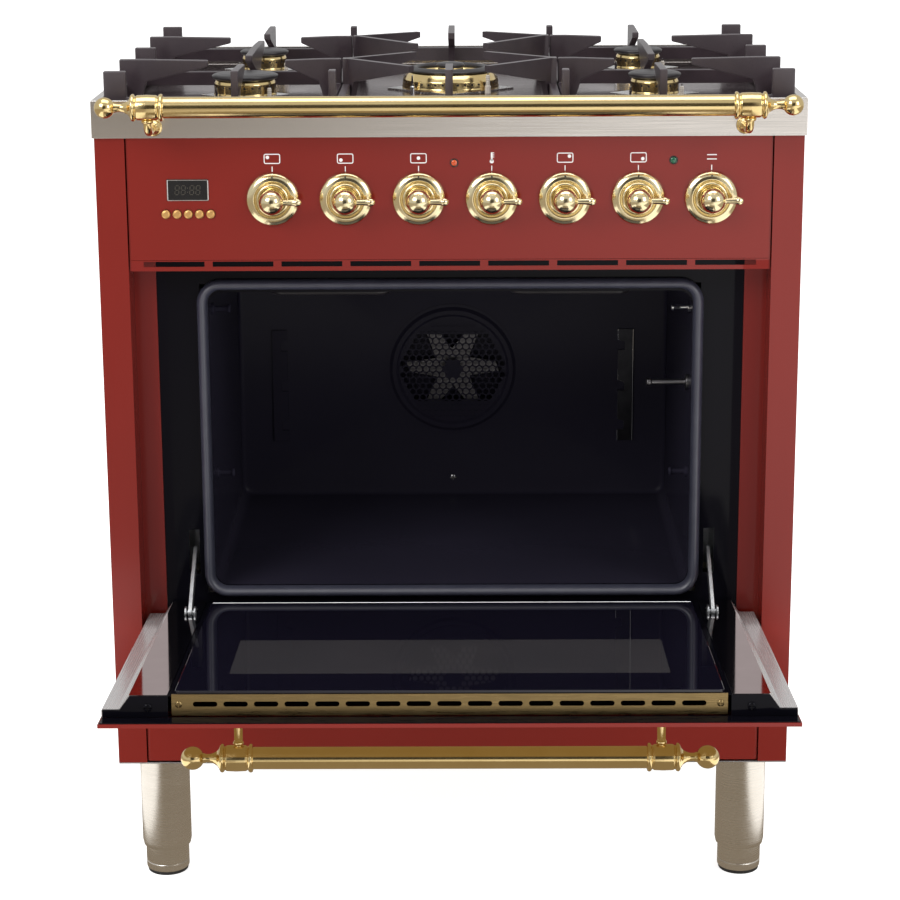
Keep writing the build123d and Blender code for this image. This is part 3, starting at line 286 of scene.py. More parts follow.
class Build:
    """A piece's mesh being put together, with a material number for each patch of faces."""

    def __init__(self, place=None):
        self.place = place or Matrix.Identity(4)
        self.points, self.faces, self.marks = [], [], []

    def add(self, points, faces, look):
        start = len(self.points)
        self.points += [self.place @ Vector(point) for point in points]
        self.faces += [[start + index for index in face] for face in faces]
        self.marks += [look] * len(faces)

    def skin(self, rings, look=0, loop=False):
        """Faces between each ring of points and the next; a ring of one point is an apex, and open ends
        are closed with a flat face. A loop joins the last ring to the first."""
        points, starts = [], []
        for ring in rings:
            starts.append(len(points))
            points += ring
        faces = []
        pairs = list(zip(range(len(rings) - 1), range(1, len(rings))))
        if loop:
            pairs.append((len(rings) - 1, 0))
        for a, b in pairs:
            n = max(len(rings[a]), len(rings[b]))
            for i in range(n):
                j = (i + 1) % n
                corner = [starts[a] + i % len(rings[a]), starts[a] + j % len(rings[a])]
                corner += [starts[b] + j % len(rings[b]), starts[b] + i % len(rings[b])]
                faces.append(list(dict.fromkeys(corner)))
        ends = () if loop else ((0, -1), (-1, 1))
        for end, order in ends:
            if len(rings[end]) > 2:
                faces.append([starts[end] + i for i in range(len(rings[end]))][::order])
        self.add(points, faces, look)

    def turned(self, profile, centre, way, look, steps):
        """Solid of revolution of (radius, height) points about an axis through centre. A profile that
        comes back to its first point makes a ring."""
        turn = Matrix.Translation(centre) @ TURNS[way]
        ring_shaped = tuple(profile[0]) == tuple(profile[-1])
        if ring_shaped:
            profile = profile[:-1]
        rings = []
        for radius, height in profile:
            circle = arc((0, 0), radius, 0, 360, steps)[:-1] if radius > 1e-6 else [(0, 0)]
            rings.append([turn @ Vector((x, y, height)) for x, y in circle])
        self.skin(rings, look, ring_shaped)

    def plate(self, outline, centre, way, low, high, edge, look):
        """Flat plate with a 2-D outline about centre, from low to high along its way, edges eased."""
        turn = Matrix.Translation(centre) @ TURNS[way]
        levels = [(low, edge), (low + edge, 0), (high - edge, 0), (high, edge)]
        if not edge:
            levels = [(low, 0), (high, 0)]
        rings = []
        for height, inset in levels:
            shape = inset_outline(outline, inset) if inset else outline
            rings.append([turn @ Vector((x, y, height)) for x, y in shape])
        self.skin(rings, look)

    def block(self, x0, x1, y0, y1, z0, z1):
        """Box between two corners."""
        self.skin([[(x0, y, z0), (x1, y, z0), (x1, y, z1), (x0, y, z1)] for y in (y0, y1)])

    def tube(self, path, radius, look=0, steps=24):
        """Round tube along a list of points."""
        self.sweep(path, arc((0, 0), radius, 0, 360 * (1 - 1 / steps), steps - 1), look)

    def sweep(self, path, section, look=0, loop=False, up=None):
        """A closed 2-D section carried along a path. Its first axis keeps towards up where that is given."""
        path = [Vector(point) for point in path]
        count = len(path)
        rings = []
        side = None
        for i, point in enumerate(path):
            before = path[i - 1] if i or loop else point
            after = path[(i + 1) % count] if i < count - 1 or loop else point
            ahead = (after - before).normalized()
            if up is not None:
                side = Vector(up)
            elif side is None:
                side = ahead.orthogonal()
            side = (side - ahead * side.dot(ahead)).normalized()
            other = ahead.cross(side)
            rings.append([point + side * x + other * y for x, y in section])
        self.skin(rings, look, loop)

    def piece(self, name, body, looks, replaces=(), sharp=38.0):
        """Make the object, in metres, riding on a body."""
        data = bpy.data.meshes.new(name)
        data.from_pydata([point * MM for point in self.points], [], self.faces)
        for look in looks:
            data.materials.append(LOOKS[look])
        data.polygons.foreach_set("material_index", self.marks)
        data.polygons.foreach_set("use_smooth", [True] * len(self.faces))
        work = bmesh.new()
        work.from_mesh(data)
        bmesh.ops.recalc_face_normals(work, faces=work.faces)
        work.to_mesh(data)
        work.free()
        data.set_sharp_from_angle(angle=math.radians(sharp))
        made = new_object(name, data)
        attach(made, body)
        if replaces:
            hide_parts(*replaces)


def inset_outline(outline, inset):
    """Move each point of a closed outline, drawn either way round, inwards by about inset."""
    count = len(outline)
    area = sum(a[0] * b[1] - b[0] * a[1] for a, b in zip(outline, outline[1:] + outline[:1]))
    sign = 1 if area > 0 else -1
    made = []
    for i in range(count):
        a, b, c = (Vector(outline[(i + k) % count]) for k in (-1, 0, 1))
        first, second = (b - a).normalized(), (c - b).normalized()
        normal_a, normal_b = Vector((-first.y, first.x)), Vector((-second.y, second.x))
        both = normal_a + normal_b
        both = both / max(both.length_squared / 2, 0.3)
        made.append(tuple(b + both * inset * sign))
    return made


# ---- knobs ----
def knob(number):
    """Dished and stepped skirt with an index dot, a ball on a short neck, and a turned lever."""
    name = f"knob_{number}"
    centre = pivot(name + "_turn")
    centre.y = FACE_Y
    ball_r, ball_at, neck = 13.4, 23.0, 6.2
    skirt = [(0, 0.5), (27.6, 0.5), (28.5, 1.2), (28.5, 2.6), (27.3, 4.6), (24.0, 6.7), (20.6, 7.5)]
    skirt += [(19.3, 7.1), (18.7, 5.4), (18.0, 5.4), (17.4, 7.0), (16.2, 8.0), (14.8, 8.1), (13.8, 6.8)]
    skirt += [(12.6, 4.8), (8.6, 4.2), (7.2, 5.4), (6.4, 8.0), (neck, 11.0)]
    start = -math.degrees(math.acos(neck / ball_r))
    ball = arc((0, ball_at), ball_r, start, 90, 24)
    made = Build()
    made.turned(soften(skirt, 0.9) + ball[:-1] + [(0, ball_at + ball_r)], centre, "forward", 0, 96)
    lever = [(0, 10), (3.2, 11.5), (2.9, 14.0), (3.0, 17), (3.4, 22.0), (3.8, 25.2), (4.5, 26.2), (4.6, 28.0)]
    lever += [(4.2, 29.2), (3.8, 30.4), (2.4, 31.8), (0, 32.3)]
    made.turned(soften(lever, 0.6), centre + Vector((0, -24.5, 0)), "right", 0, 40)
    made.turned([(0, 0), (3.0, 0), (3.0, 36), (0, 36)], centre, "back", 0, 24)
    dot_at = centre + Vector((0, -6.35, 24.4))
    made.turned([(0, 0), (1.05, 0), (0.9, 0.45), (0, 0.6)], dot_at, "forward", 1, 16)
    made.piece(name + "_brass", name, ["pale_brass", "plain_black_and_port_shade"], [name])


for knob_number in KNOBS:
    knob(knob_number)


# ---- printed symbols ----
PRINT = 0.10


def print_stroke(made, path, width, closed=False):
    """A flat printed line on the fascia, path in (x, z)."""
    points = [(x, FACE_Y - PRINT / 2, z) for x, z in path]
    made.sweep(points, rectangle(PRINT / 2, width / 2), 0, closed, up=(0, 1, 0))


def print_dot(made, x, z, radius):
    made.turned([(0, 0), (radius, 0), (radius, PRINT), (0, PRINT)], (x, FACE_Y, z), "forward", 0, 24)


def hob_symbol(made, x, z, dot):
    outline = [(x + px, z + pz) for px, pz in rounded_rectangle(8.3, 4.9, 1.6, 4)]
    print_stroke(made, outline, 1.0, True)
    print_dot(made, x + dot[0], z + dot[1], 1.9)


def symbols():
    """White prints over the knobs: which burner each one feeds, the oven's heat and its switch."""
    above, pointer_low, pointer_high = 43.4, 29.6, 35.2
    made = Build()
    dots = {1: (-4.8, 1.6), 2: (-4.6, -1.6), 3: (0, 0.2), 5: (4.6, 1.6), 6: (4.6, -1.4)}
    for number in KNOBS:
        at = pivot(f"knob_{number}_turn")
        x, z = at.x, at.z + above
        print_stroke(made, [(x, at.z + pointer_low), (x, at.z + pointer_high)], 0.95)
        if number in dots:
            hob_symbol(made, x, z, dots[number])
        elif number == THERMOSTAT:
            print_stroke(made, [(x, z - 3), (x, z + 6)], 2.0)
            print_dot(made, x, z - 3.6, 2.2)
            for level in (1.0, 3.2, 5.4):
                print_stroke(made, [(x + 0.9, z + level), (x + 2.6, z + level)], 0.8)
        else:
            for level in (-2.0, 2.6):
                print_stroke(made, [(x - 5.2, z + level), (x + 5.2, z + level)], 1.1)
    made.piece("printed_symbols", "cabinet", ["print_white"])


symbols()


# ---- clock ----
def digit(made, x, z, width, height, front, slant):
    """Seven bars of an unlit figure."""
    w, h = width / 2, height / 2
    bars = [((-w, h), (w, h)), ((-w, 0), (w, 0)), ((-w, -h), (w, -h))]
    bars += [((side, level + 0.15 * h), (side, level + 0.85 * h)) for side in (-w, w) for level in (-h, 0)]
    section = rectangle(0.03, 0.42)
    for (xa, za), (xb, zb) in bars:
        trim = 0.55 if za == zb else 0
        path = [(x + xa + trim + slant * za, front, z + za), (x + xb - trim + slant * zb, front, z + zb)]
        made.sweep(path, section, 2, up=(0, 1, 0))


def clock():
    """Bright frame round a black window with four unlit figures."""
    low, high = corners("clock_module")
    front = low.y
    width, height, drop = 44.4, 22.9, 22
    x, z = (low.x + high.x) / 2, high.z - drop
    made = Build()
    outer = rounded_rectangle(width / 2, height / 2, 0.9, 4)
    path = [(x + px * 0.974, front + 0.15, z + pz * 0.95) for px, pz in outer]
    section = soften(rectangle(0.35, 0.6), 0.25, 2, True)
    made.sweep(path, section, 0, True, up=(0, 1, 0))
    window = rounded_rectangle(width / 2 - 1.2, height / 2 - 1.2, 0.5, 3)
    made.plate(window, (x, front, z), "forward", -0.6, 0.12, 0.05, 1)
    for offset in (-11.2, -4.6, 4.6, 11.2):
        digit(made, x + offset, z, 4.2, 9.6, front - 0.14, 0.09)
    dot = [(0, 0), (0.6, 0), (0.6, 0.06), (0, 0.06)]
    for level in (-2.2, 2.2):
        made.turned(dot, (x, front - 0.12, z + level), "forward", 2, 12)
    made.piece("clock_face", "cabinet", ["chrome", "display", "segment"])


clock()


def clock_button(number):
    """Domed push button with a stepped rim."""
    name = f"clock_button_{number}"
    centre = middle(name)
    centre.y = FACE_Y
    profile = [(0, -16), (2.2, -16), (2.2, -0.3), (4.75, -0.3), (4.8, 0.4), (4.7, 2.0), (4.1, 2.9)]
    profile += [(2.6, 3.45), (0, 3.6)]
    made = Build()
    made.turned(soften(profile, 0.35), centre, "forward", 0, 40)
    made.piece(name + "_cap", name, ["button_gold"], [name])


for button_number in CLOCK_BUTTONS:
    clock_button(button_number)


def pilot_lights():
    """Amber and green lenses: a faceted dome in a thin bezel."""
    low, high = corners("pilot_lights")
    radius = 4.6
    places = (("pilot_light_amber", low.x + radius, low.z + radius, "lamp_lens"),
              ("pilot_light_green", high.x - radius, high.z - radius, "green_lens"))
    for name, x, z, look in places:
        made = Build()
        bezel = [(0, -20), (4.0, -20), (4.0, 0), (4.6, 0), (4.6, 0.6), (4.0, 0.9), (3.4, 0.5), (0, 0.5)]
        made.turned(soften(bezel, 0.2), (x, FACE_Y, z), "forward", 1, 40)
        made.turned([(0, 0.4), (3.3, 0.4), (3.2, 0.8), (2.6, 1.2), (1.5, 1.5), (0, 1.6)], (x, FACE_Y, z),
                    "forward", 0, 12)
        made.piece(name, "cabinet", [look, "plain_black_and_port_shade"], ["pilot_lights"], 20.0)


pilot_lights()


def front_returns():
    """Folded side edges of the fascia and the drawer's front, seen in the gaps beside the posts."""
    fronts = (("control_panel", "cabinet", "fascia_returns"), ("drawer_front", "drawer", "drawer_returns"))
    for node, body, name in fronts:
        low, high = corners(node)
        made = Build()
        for side in (-1, 1):
            x0, x1 = sorted((side * (high.x - 0.05), side * (high.x + 1.5)))
            made.block(x0, x1, FACE_Y + 1.4, FACE_Y + 16, low.z, high.z)
        made.piece(name, body, ["red_enamel"])


front_returns()


# ---- brass rails ----
def rail_end(made, start, ball_at, ball_r, centre, way):
    """Turned end of a rail from its tube's end: bead, barrel, bead, tapered neck and ball finial."""
    ball_reach, neck = 27.5, 5.2
    barrel = ball_at - start - ball_reach
    bead = [(0, -2), (10.9, -2), (11.3, -0.4), (13.6, 0), (14.6, 1.9), (13.6, 3.9), (12.0, 4.6), (12.0, 5.6)]
    bead += [(13.0, 6.6), (13.4, 0.5 * barrel)]
    taper = [(13.0, -6.4), (12.0, -5.4), (12.0, -4.6), (13.8, -3.8), (14.5, -2.0), (13.6, -0.3), (10.6, 1.0)]
    taper += [(7.6, 3.0), (5.4, 6.5), (4.2, 10.0), (4.2, 14.0)]
    profile = lifted(bead, start) + lifted(taper, start + barrel)
    profile.append((neck, ball_at - math.sqrt(ball_r**2 - neck**2) - 0.3))
    angle = math.degrees(math.acos(neck / ball_r))
    ball = arc((0, ball_at), ball_r, -angle, 90, 20)
    made.turned(soften(profile, 0.8) + ball[:-1] + [(0, ball_at + ball_r)], centre, way, 0, 72)


def rail(made, half, ball_at, ball_r, centre):
    """Tube across the range with a turned end on each side."""
    radius = 11.2
    made.turned([(0, -half), (radius, -half), (radius, half), (0, half)], centre, "right", 0, 72)
    for way in ("right", "left"):
        rail_end(made, half, ball_at, ball_r, centre, way)


def towel_rail():
    """Rail before the cooktop's front, on two brackets that curve back to their rosettes."""
    low, high = corners("towel_rail")
    half, bead_r, ball_r, bracket_x, bend = 297, 14.4, 11.0, 313.7, 12.0
    centre = Vector((0, low.y + bead_r, high.z - bead_r))
    made = Build()
    rail(made, half, high.x - ball_r, ball_r, centre)
    face = corners("cooktop")[0].y
    drop = low.z + 9.5
    for side in (-1, 1):
        x = side * bracket_x
        curve = arc((centre.y + bend, drop + bend), bend, 180, 270, 10)
        path = [(x, centre.y, centre.z - 10), *[(x, y, z) for y, z in curve], (x, face - 2, drop)]
        made.tube(path, 4.4)
        collar = [(0, 0), (5.2, 0), (6.4, 1.2), (6.4, 2.6), (5.2, 3.8), (0, 3.8)]
        made.turned(soften(collar, 0.6), (x, centre.y, centre.z - 16.4), "up", 0, 40)
        rosette = [(0, 0), (9.3, 0), (9.5, 0.8), (9.0, 1.8), (7.4, 2.2), (7.0, 3.0), (5.6, 4.6)]
        rosette += [(4.4, 7.0), (0, 7.0)]
        made.turned(soften(rosette, 0.5), (x, face, drop), "forward", 0, 48)
    made.piece("towel_rail_brass", "cabinet", ["polished_brass"], ["towel_rail"])


towel_rail()

# The door's pieces are drawn closed, as (x, v, u) from the hinge line: v inwards, u up.
HANDLE = Vector((0, -65.0, 340.0))
DOOR_FACE = -20.0


def door_handle():
    """Rail on two turned posts that stand on the door's face."""
    half, ball_at, ball_r, post_x = 196, 256, 11.7, 210
    made = Build(DOOR_TURN)
    rail(made, half, ball_at, ball_r, HANDLE)
    length = DOOR_FACE - HANDLE.y
    post = [(0, 10), (4.0, 10), (4.0, 14), (5.4, 15), (5.4, 17), (4.2, 18.2), (4.2, length - 7)]
    post += lifted([(5.2, -5.2), (7.6, -3.6), (7.8, -1.0), (7.8, 0), (0, 0)], length)
    for x in (-post_x, post_x):
        made.turned(soften(post, 0.5), HANDLE + Vector((x, 0, 0)), "back", 0, 40)
    made.piece("door_handle_brass", "oven_door", ["polished_brass"], ["door_handle"])


door_handle()


# ---- screws ----
def screw_head(made, centre, way, radius, look=0):
    """Pan head with a cross recess, drawn as four raised quarters round the cross."""
    turn = Matrix.Translation(centre) @ TURNS[way]
    slot_half, height = 0.13 * radius, 0.55 * radius
    made.turned([(0, 0), (radius, 0), (radius, 0.3 * height), (0, 0.3 * height)], centre, way, look, 32)
    for quarter in range(4):
        spin = turn @ Matrix.Rotation(math.radians(90 * quarter), 4, "Z")
        rings = []
        for scale, rise in ((1.0, 0.25), (1.0, 0.45), (0.82, 0.85), (0.55, 1.0)):
            r = radius * scale
            edge = max(r, slot_half * 2.2)
            start = math.degrees(math.asin(slot_half / edge))
            arm = min(0.62 * radius, edge * 0.9)
            outline = arc((0, 0), edge, start, 90 - start, 7)
            outline += [(slot_half, arm), (slot_half, slot_half), (arm, slot_half)]
            rings.append([spin @ Vector((x, y, rise * height)) for x, y in outline])
        made.skin(rings, look)


def door_screws():
    """Brass screws at the ends of the vent strip, and black ones in the trims' end caps."""
    made = Build(DOOR_TURN)
    for side in (-1, 1):
        screw_head(made, Vector((side * 266, -3.0, 362.2)), "up", 3.4, 0)
        screw_head(made, Vector((side * 296, -5.0, 366.0)), "up", 4.2, 1)
    made.piece("door_screws", "oven_door", ["dull_brass", "black_enamel"])


door_screws()


def rear_screws():
    """Two rows of screws that hold the rear cover."""
    low, high = corners("cabinet_screws")
    back, radius = corners("rear_cover")[1].y, 3.8
    made = Build()
    for x in (low.x + radius, high.x - radius):
        for z in (200, 400, 600, 800):
            screw_head(made, Vector((x, back, z)), "back", radius)
    made.piece("rear_screw_heads", "cabinet", ["zinc_steel"], ["cabinet_screws"])


rear_screws()


# ---- oven ----
def gasket():
    """Hollow seal round the mouth, flat where it grips the frame."""
    low, high = corners("door_gasket")
    half, radius = 5.9, 21
    depth = high.y - low.y
    centre, tall = (low.z + high.z) / 2, (high.z - low.z) / 2
    outline = rounded_rectangle(high.x - half, tall - half, radius, 10)
    rise = [(0.25 * depth, half), (0.62 * depth, 0.84 * half), (0.9 * depth, 0.45 * half)]
    section = [(-d, -w) for d, w in rise] + [(-depth, 0)] + [(-d, w) for d, w in rise[::-1]]
    section += [(0, half), (0, -half)]
    made = Build()
    made.sweep([(x, high.y, centre + z) for x, z in outline], section, 0, True, up=(0, 1, 0))
    made.piece("mouth_seal", "cabinet", ["seal"], ["door_gasket"], 60.0)


gasket()


def facing_front(x, z, level):
    return (x, level, z)


def facing_up(x, y, level):
    return (x, y, level)


def flat_ring(made, outer, inner, near, far, put):
    """Sheet between two outlines that have the same number of points, from one level to another."""
    levels = ((outer, near), (inner, near), (inner, far), (outer, far))
    made.skin([[put(a, b, level) for a, b in outline] for outline, level in levels], 0, True)


def front_frame():
    """One enamelled pressing round the mouth, turned in at the opening; slots for the hinge arms."""
    low, high = corners("oven_front_frame")
    mouth_low, mouth_high, half, radius, rim = 349.0, 685.0, 266.0, 16.0, 9
    centre, tall = (mouth_low + mouth_high) / 2, (mouth_high - mouth_low) / 2
    mouth = rounded_rectangle(half, tall, radius, 10)
    inner = [(x, centre + z) for x, z in mouth]
    edge_x, edge_low, edge_high = half + rim, mouth_low - rim, mouth_high + rim
    outer = []
    for x, z in mouth:
        outer.append((math.copysign(min(abs(x) + rim, edge_x), x), centre + z * (tall + rim) / tall))
    made = Build()
    flat_ring(made, outer, inner, low.y, high.y, facing_front)
    slot_x, slot_half, slot_low, slot_high = corners("hinge_arms")[1].x - 2, 6.0, 362.0, 414.0
    slot_in, slot_out = slot_x - slot_half, slot_x + slot_half
    blocks = [(-high.x, high.x, low.z, edge_low), (-high.x, high.x, edge_high, high.z)]
    for sign in (-1, 1):
        spans = [(edge_x, slot_in, edge_low, edge_high), (slot_out, high.x, edge_low, edge_high)]
        spans += [(slot_in, slot_out, edge_low, slot_low), (slot_in, slot_out, slot_high, edge_high)]
        blocks += [(*sorted((sign * a, sign * b)), c, d) for a, b, c, d in spans]
    for x0, x1, z0, z1 in blocks:
        made.block(x0, x1, low.y, high.y, z0, z1)
    made.piece("oven_front_enamel", "cabinet", ["black_enamel"], ["oven_front_frame"])


def liner():
    """Cavity pressed from one sheet: rounded long corners, a rounded turn into the back, fan chamber."""
    low, high = corners("oven_liner")
    thick, bend_r, corner_r = 1.2, 6.0, 13
    hub, back = middle("fan_cover").z, corners("fan_cover")[1].y + 0.1
    half, bottom, top = high.x - thick, low.z + thick, high.z - thick
    centre, tall = (bottom + top) / 2, (top - bottom) / 2
    stages = [(low.y, 0), (back - bend_r, 0)]
    for angle in (30, 60, 90):
        bend = math.radians(angle)
        stages.append((back - bend_r * (1 - math.sin(bend)), bend_r * (1 - math.cos(bend))))
    rings = []
    for depth, inset in stages:
        outline = rounded_rectangle(half - inset, tall - inset, corner_r, 10)
        rings.append([(x, depth, centre + z) for x, z in outline])
    angles = [math.atan2(z - hub, x) for x, _, z in rings[-1]]
    port = 80.0 - thick
    motor_hole, outer_port = 0.09 * port, 1.015 * port
    chamber = [(port, back), (port, high.y - thick), (motor_hole, high.y - thick), (motor_hole, high.y)]
    for radius, depth in chamber + [(outer_port, high.y), (outer_port, back + thick)]:
        rings.append([(radius * math.cos(a), depth, hub + radius * math.sin(a)) for a in angles])
    for depth in (back + thick, low.y):
        outline = rounded_rectangle(half + thick, tall + thick, corner_r + 1, 10)
        rings.append([(x, depth, centre + z) for x, z in outline])
    made = Build()
    made.skin(rings, 0, True)
    made.piece("oven_cavity_enamel", "cabinet", ["cavity_enamel"], ["oven_liner"])


front_frame()
liner()


def cavity_fittings():
    """Notched rack brackets, headed stop pins, the temperature probe and a screw, in the cavity. The right side's
    bracket is dark steel with chrome edges and its upper pin is chrome, while the left side's fittings take the
    wall's enamel: the sides differ as painted highlight on the right and painted shade on the left."""
    low, high = corners("cavity_fittings")
    wall, pin_y = corners("oven_liner")[1].x - 1.2, low.y + 9.0
    back, face = high.y, high.y - 3
    near, notch, far = 209.0, 217.0, 228.0
    pin = [(0, -1), (6.5, -1), (6.5, 2.4), (5.0, 3.0), (3.0, 3.6), (3.0, 17), (5.0, 17.8), (5.0, 20.2)]
    pin += [(4.0, 21), (0, 21)]
    made = Build()
    for sign in (-1, 1):
        outline = [(near, 416.0), (far, 416.0), (far, 560.0), (near, 560.0)]
        for level in (540.0, 488.0, 437.0):
            outline += [(near, level + 7), (notch, level + 4), (notch, level - 7), (near, level - 7)]
        # Right bracket in dark steel with chrome edge strips, left bracket in the wall's enamel: painted highlight
        # and painted shade.
        made.skin([[(sign * x, y, z) for x, z in outline] for y in (face, back)], 2 if sign > 0 else 0)
        if sign > 0:
            for edge in (outline[3:] + outline[:1], outline[1:3]):
                made.tube([(x, face, z) for x, z in edge], 0.3, 1, 8)
        # Only the right upper pin is chrome: painted highlight; the others take the wall's enamel as painted
        # shade.
        for level, look in ((459.0, 0), (651.0, 1)):
            way, pin_look = ("left", look) if sign > 0 else ("right", 0)
            made.turned(soften(pin, 0.4), (sign * wall, pin_y, level), way, pin_look, 32)
    probe = [(0, -1), (9, -1), (9, 3.2), (6, 4), (3.2, 4.6), (3.2, 42), (4.5, 42.6), (4.5, 47)]
    probe += [(3.2, 48), (0, 48)]
    made.turned(soften(probe, 0.5), (wall, pin_y, 564.0), "left", 3, 32)
    looks = ["cavity_enamel", "chrome", "smoked_steel", "fan_steel"]
    made.piece("cavity_hardware", "cabinet", looks, ["cavity_fittings"])
    screw = Build()
    screw_head(screw, Vector((0, back, 367.0)), "forward", 4.2)
    screw.piece("cavity_screw", "cabinet", ["chrome"])


cavity_fittings()


# ---- door glass ----
def door_plate(made, half, u0, u1, v0, v1, look, radius=4.0, edge=0.5):
    """Pane or sheet in the door's plane, half its width to each side."""
    outline = rounded_rectangle(half, (u1 - u0) / 2, radius, 5)
    made.plate([(x, -z) for x, z in outline], (0, v0, (u0 + u1) / 2), "back", 0, v1 - v0, edge, look)


def side_trims():
    """Folded trims: a polished ledge beside the glass, slotted for the hinge arm, and a brushed slope."""
    near_u, far_u, arm_x, arm_u, centre_x, half_x = -18.0, 364.0, 289.0, 39, 295.8, 18.8
    made = Build(DOOR_TURN)
    middle_u, half_u = (near_u + far_u) / 2, (far_u - near_u) / 2
    slope = [(314.6, 7), (324.6, -7), (342, -7), (342, -16), (340.8, -16), (340.8, -8.2), (323.8, -8.2)]
    slope.append((313.8, 5.8))
    for side in (-1, 1):
        ledge = [(side * (centre_x + a), middle_u + b) for a, b in rounded_rectangle(half_x, half_u, 0.02, 3)]
        slot = [(side * (arm_x + a), arm_u + b) for a, b in rounded_rectangle(7, 21, 2, 3)]
        flat_ring(made, ledge, slot, 7, 5.8, facing_front)
        fold = soften(slope, 1.6, 3, True)
        made.skin([[(side * x, v, u) for x, v in fold] for u in (near_u, far_u)], 1)
    looks = ["mirror_steel", "trim_steel"]
    made.piece("door_trims", "oven_door", looks, ["door_side_trims"])


side_trims()


def door_glass():
    """Inner pane with its clear window inside a dark border, and the outer pane in the pan's window. The window
    is an opaque grey sheet, partly the glass's tint and partly painted shade of the floor seen through it.
    """
    made = Build(DOOR_TURN)
    door_plate(made, 270, 2, 360, 6, 10, 0)
    # Window sheet: partly the glass's tint, partly painted shade of the floor seen through it.
    door_plate(made, 222, 167, 298, 9.98, 10.03, 1, 2.0, 0.0)
    door_plate(made, 239, 153, 312, DOOR_FACE + 1.3, DOOR_FACE + 5, 0)
    made.piece("door_panes", "oven_door", ["dark_glass", "window_glass_and_painted_shade"], ["door_glass"])
    rim = Build(DOOR_TURN)
    door_plate(rim, 268.5, 1.2, 3.4, 6.4, 10.25, 0, 0.8, 0.3)
    rim.piece("glass_rear_trim", "oven_door", ["chrome"])


door_glass()


def vent_strip():
    """Strip across the top of the door's inner side, with round-ended slots and a folded rear edge."""
    pitch, count, length, near, far = 30.0, 17, 273.0, 361.0, 362.2
    low_v, high_v, slot_v = -14.5, 7.0, -2.9
    made = Build(DOOR_TURN)
    middle_v, half_v = (low_v + high_v) / 2, (high_v - low_v) / 2
    for i in range(count):
        x = pitch * (i - (count - 1) / 2)
        outer = [(x + a, middle_v + b) for a, b in rounded_rectangle(pitch / 2, half_v, 0.02, 6)]
        slot = [(x + a, slot_v + b) for a, b in rounded_rectangle(12.0, 2.6, 2.55, 6)]
        flat_ring(made, outer, slot, near, far, facing_up)
    inner = pitch * count / 2
    ends = [(-length, -inner, low_v, high_v, near, far), (inner, length, low_v, high_v, near, far)]
    ends.append((-length, length, high_v - 1.2, high_v, near - 1, near))
    for end in ends:
        made.block(*end)
    made.piece("door_vent_slots", "oven_door", ["dull_brass"], ["door_vent_strip"])


vent_strip()


# ---- burners ----
def ported_ring(made, profile, centre, radius, level, count, bore):
    """Turned ring with a row of gas ports, each drawn as a black plug standing in its wall: painted shade of the
    hole.
    """
    made.turned(soften(profile, 0.6), (centre.x, centre.y, 0), "up", 0, 128)
    for i in range(count):
        angle = 2 * math.pi * i / count
        out = Vector((math.cos(angle), math.sin(angle), 0))
        at = Vector((centre.x, centre.y, level)) + out * radius
        turn = Matrix.Translation(at) @ out.to_track_quat("Z", "Y").to_matrix().to_4x4()
        # Each port is a black plug, not a hole: painted shade of the hole's inside.
        rings = [[turn @ Vector((x, y, h)) for x, y in arc((0, 0), bore, 0, 315, 7)] for h in (-2.0, 0.06)]
        made.skin(rings, 1)


def spreaders():
    """Brass flame spreaders: four plain rings, and the centre burner's outer ring with its inner crown."""
    port_pitch, bore = 8.6, 1.3
    made = Build()
    for name in BURNERS:
        cap_low, cap_high = corners("burner_cap_" + name)
        z1 = cap_low.z + 4
        z0 = z1 - 17
        r = (cap_high.x - cap_low.x) / 2 - 2.75
        profile = [(r - 9, z0), (r + 0.6, z0), (r + 0.8, z0 + 1.0), (r, z0 + 2.2), (r, z1 - 4)]
        profile += [(r - 1.2, z1 - 1.6), (r - 2.2, z1), (r - 8, z1), (r - 9, z0 + 1), (r - 9, z0)]
        ports = round(2 * math.pi * r / port_pitch)
        ported_ring(made, profile, (cap_low + cap_high) / 2, r, z0 + 9.5, ports, bore)
    cap_low, cap_high = corners("burner_cap_centre")
    centre = (cap_low + cap_high) / 2
    z1 = cap_high.z - 10.3
    z0 = corners("flame_spreaders")[0].z
    outer = [(34, z0), (56.4, z0), (57, z0 + 1.4), (56.4, z0 + 3.6), (55.4, z1 - 9), (53, z1 - 5), (49, z1)]
    outer += [(37, z1), (34, z1 - 3), (34, z0)]
    ported_ring(made, outer, centre, 55.9, z0 + 8, 40, bore)
    crown = [(9, z0), (15, z0), (15, z1 + 3.2), (14.2, z1 + 4), (9, z1 + 4), (9, z0)]
    ported_ring(made, crown, centre, 15, z1 - 1, 12, 1.1)
    made.piece("flame_spreader_brass", "cabinet", ["polished_brass", "plain_black_and_port_shade"],
               ["flame_spreaders"])


spreaders()


def burner_cap(name):
    """Enamelled cap: a flat underside with a spigot, a rolled rim and a shallow dome."""
    node = "burner_cap_" + name
    low, high = corners(node)
    centre = (low + high) / 2
    r, seat = (high.x - low.x) / 2, low.z + 4
    dome = [(r - 12, 0), (r - 3.5, 0), (r - 0.8, 1.6), (r, 3.4), (r - 0.7, 5.0), (r - 3.2, 6.2), (r - 7, 6.6)]
    dome += [(r - 9, 7.1), (0.5 * r, 7.6)]
    profile = [(0, low.z), (r - 12, low.z), *lifted(dome, seat), (0, high.z)]
    made = Build()
    made.turned(soften(profile, 1.0), (centre.x, centre.y, 0), "up", 0, 96)
    made.piece(node + "_enamel", node, ["cap_enamel"], [node])


